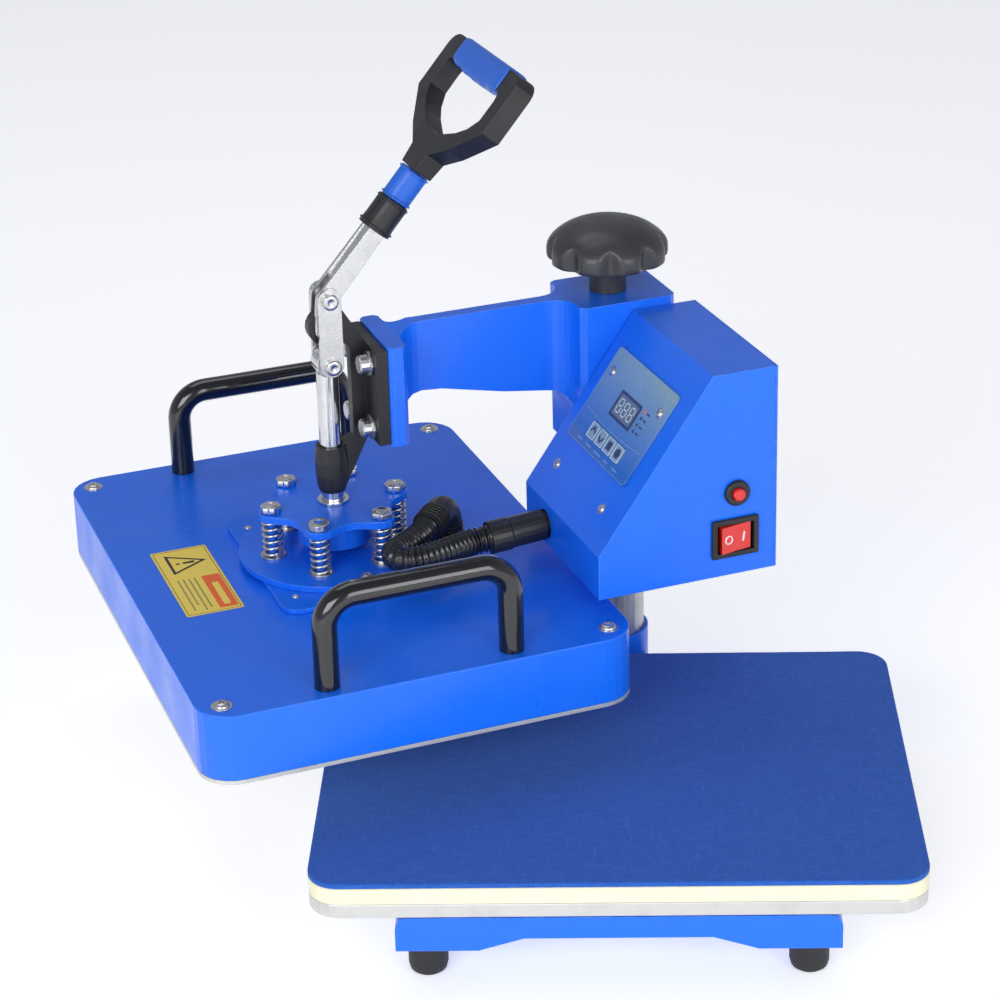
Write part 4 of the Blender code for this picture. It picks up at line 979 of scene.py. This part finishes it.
# --- camera, light and floor ------------------------------------------------------
def camera():
    """Camera at the photograph's place: long lens, looking down at about 21 degrees."""
    pitch, heading, roll = math.radians(21.333), math.radians(-1.556), math.radians(-1.344)
    level = math.cos(pitch)
    ahead = Vector((math.sin(heading) * level, math.cos(heading) * level, -math.sin(pitch)))
    right = Vector((math.cos(heading), -math.sin(heading), 0.0))
    up = right.cross(ahead)
    turned_right = math.cos(roll) * right + math.sin(roll) * up
    turned_up = math.cos(roll) * up - math.sin(roll) * right
    data = bpy.data.cameras.new("camera")
    data.sensor_width = 36.0
    data.lens = 100.37
    data.shift_x = -0.0209
    data.shift_y = -0.1870
    obj = bpy.data.objects.new("camera", data)
    bpy.context.scene.collection.objects.link(obj)
    axes = Matrix((turned_right, turned_up, -ahead)).transposed().to_4x4()
    obj.matrix_world = Matrix.Translation((-0.01146, -1.58890, 0.93420)) @ axes
    bpy.context.scene.camera = obj


def softbox(name, place, target, size, power):
    data = bpy.data.lights.new(name, "AREA")
    data.shape = "RECTANGLE"
    data.size, data.size_y = size
    data.energy = power
    obj = bpy.data.objects.new(name, data)
    bpy.context.scene.collection.objects.link(obj)
    obj.location = place
    obj.rotation_mode = "QUATERNION"
    obj.rotation_quaternion = (Vector(target) - Vector(place)).to_track_quat("-Z", "Y")


def studio():
    """Two large softboxes in front, a weaker one above, and a pale surround."""
    bpy.context.scene.view_settings.view_transform = "Standard"
    world = bpy.data.worlds.new("studio")
    world.use_nodes = True
    tree = world.node_tree
    backdrop = tree.nodes["Background"]
    coords = tree.nodes.new("ShaderNodeTexCoord")
    split = tree.nodes.new("ShaderNodeSeparateXYZ")
    tree.links.new(coords.outputs["Generated"], split.inputs[0])
    ramp = tree.nodes.new("ShaderNodeValToRGB")
    ramp.color_ramp.elements[0].color = (0.50, 0.52, 0.58, 1.0)
    ramp.color_ramp.elements[1].color = (0.24, 0.25, 0.29, 1.0)
    ramp.color_ramp.elements[1].position = 0.9
    tree.links.new(split.outputs[2], ramp.inputs[0])
    tree.links.new(ramp.outputs[0], backdrop.inputs["Color"])
    backdrop.inputs["Strength"].default_value = 1.0
    bpy.context.scene.world = world
    softbox("key", (-1.1, -2.4, 1.25), (-0.05, 0.1, 0.05), (1.8, 1.4), 42)
    softbox("fill", (1.5, -2.1, 1.0), (-0.05, 0.1, 0.05), (1.4, 1.4), 26)
    softbox("top", (-0.6, 0.9, 2.4), (-0.05, 0.1, 0.05), (1.6, 1.2), 9)
    look = Look("studio_floor", (0.90, 0.90, 0.91), 0.6, 0.0, Emission_Color=(1.0, 1.0, 1.0, 1.0),
                Emission_Strength=0.42)
    look.tint(look.span(look.noise(3.0, 4.0), 0.4, 0.7, 0.0, 0.3), (0.87, 0.87, 0.88))
    bm = bmesh.new()
    bmesh.ops.create_grid(bm, x_segments=1, y_segments=1, size=8.0)
    bmesh.ops.translate(bm, vec=(0.0, 0.0, FLOOR_Z - 0.0002), verts=bm.verts)
    floor = add("floor", meshed("floor", bm), look, None)


camera()
studio()
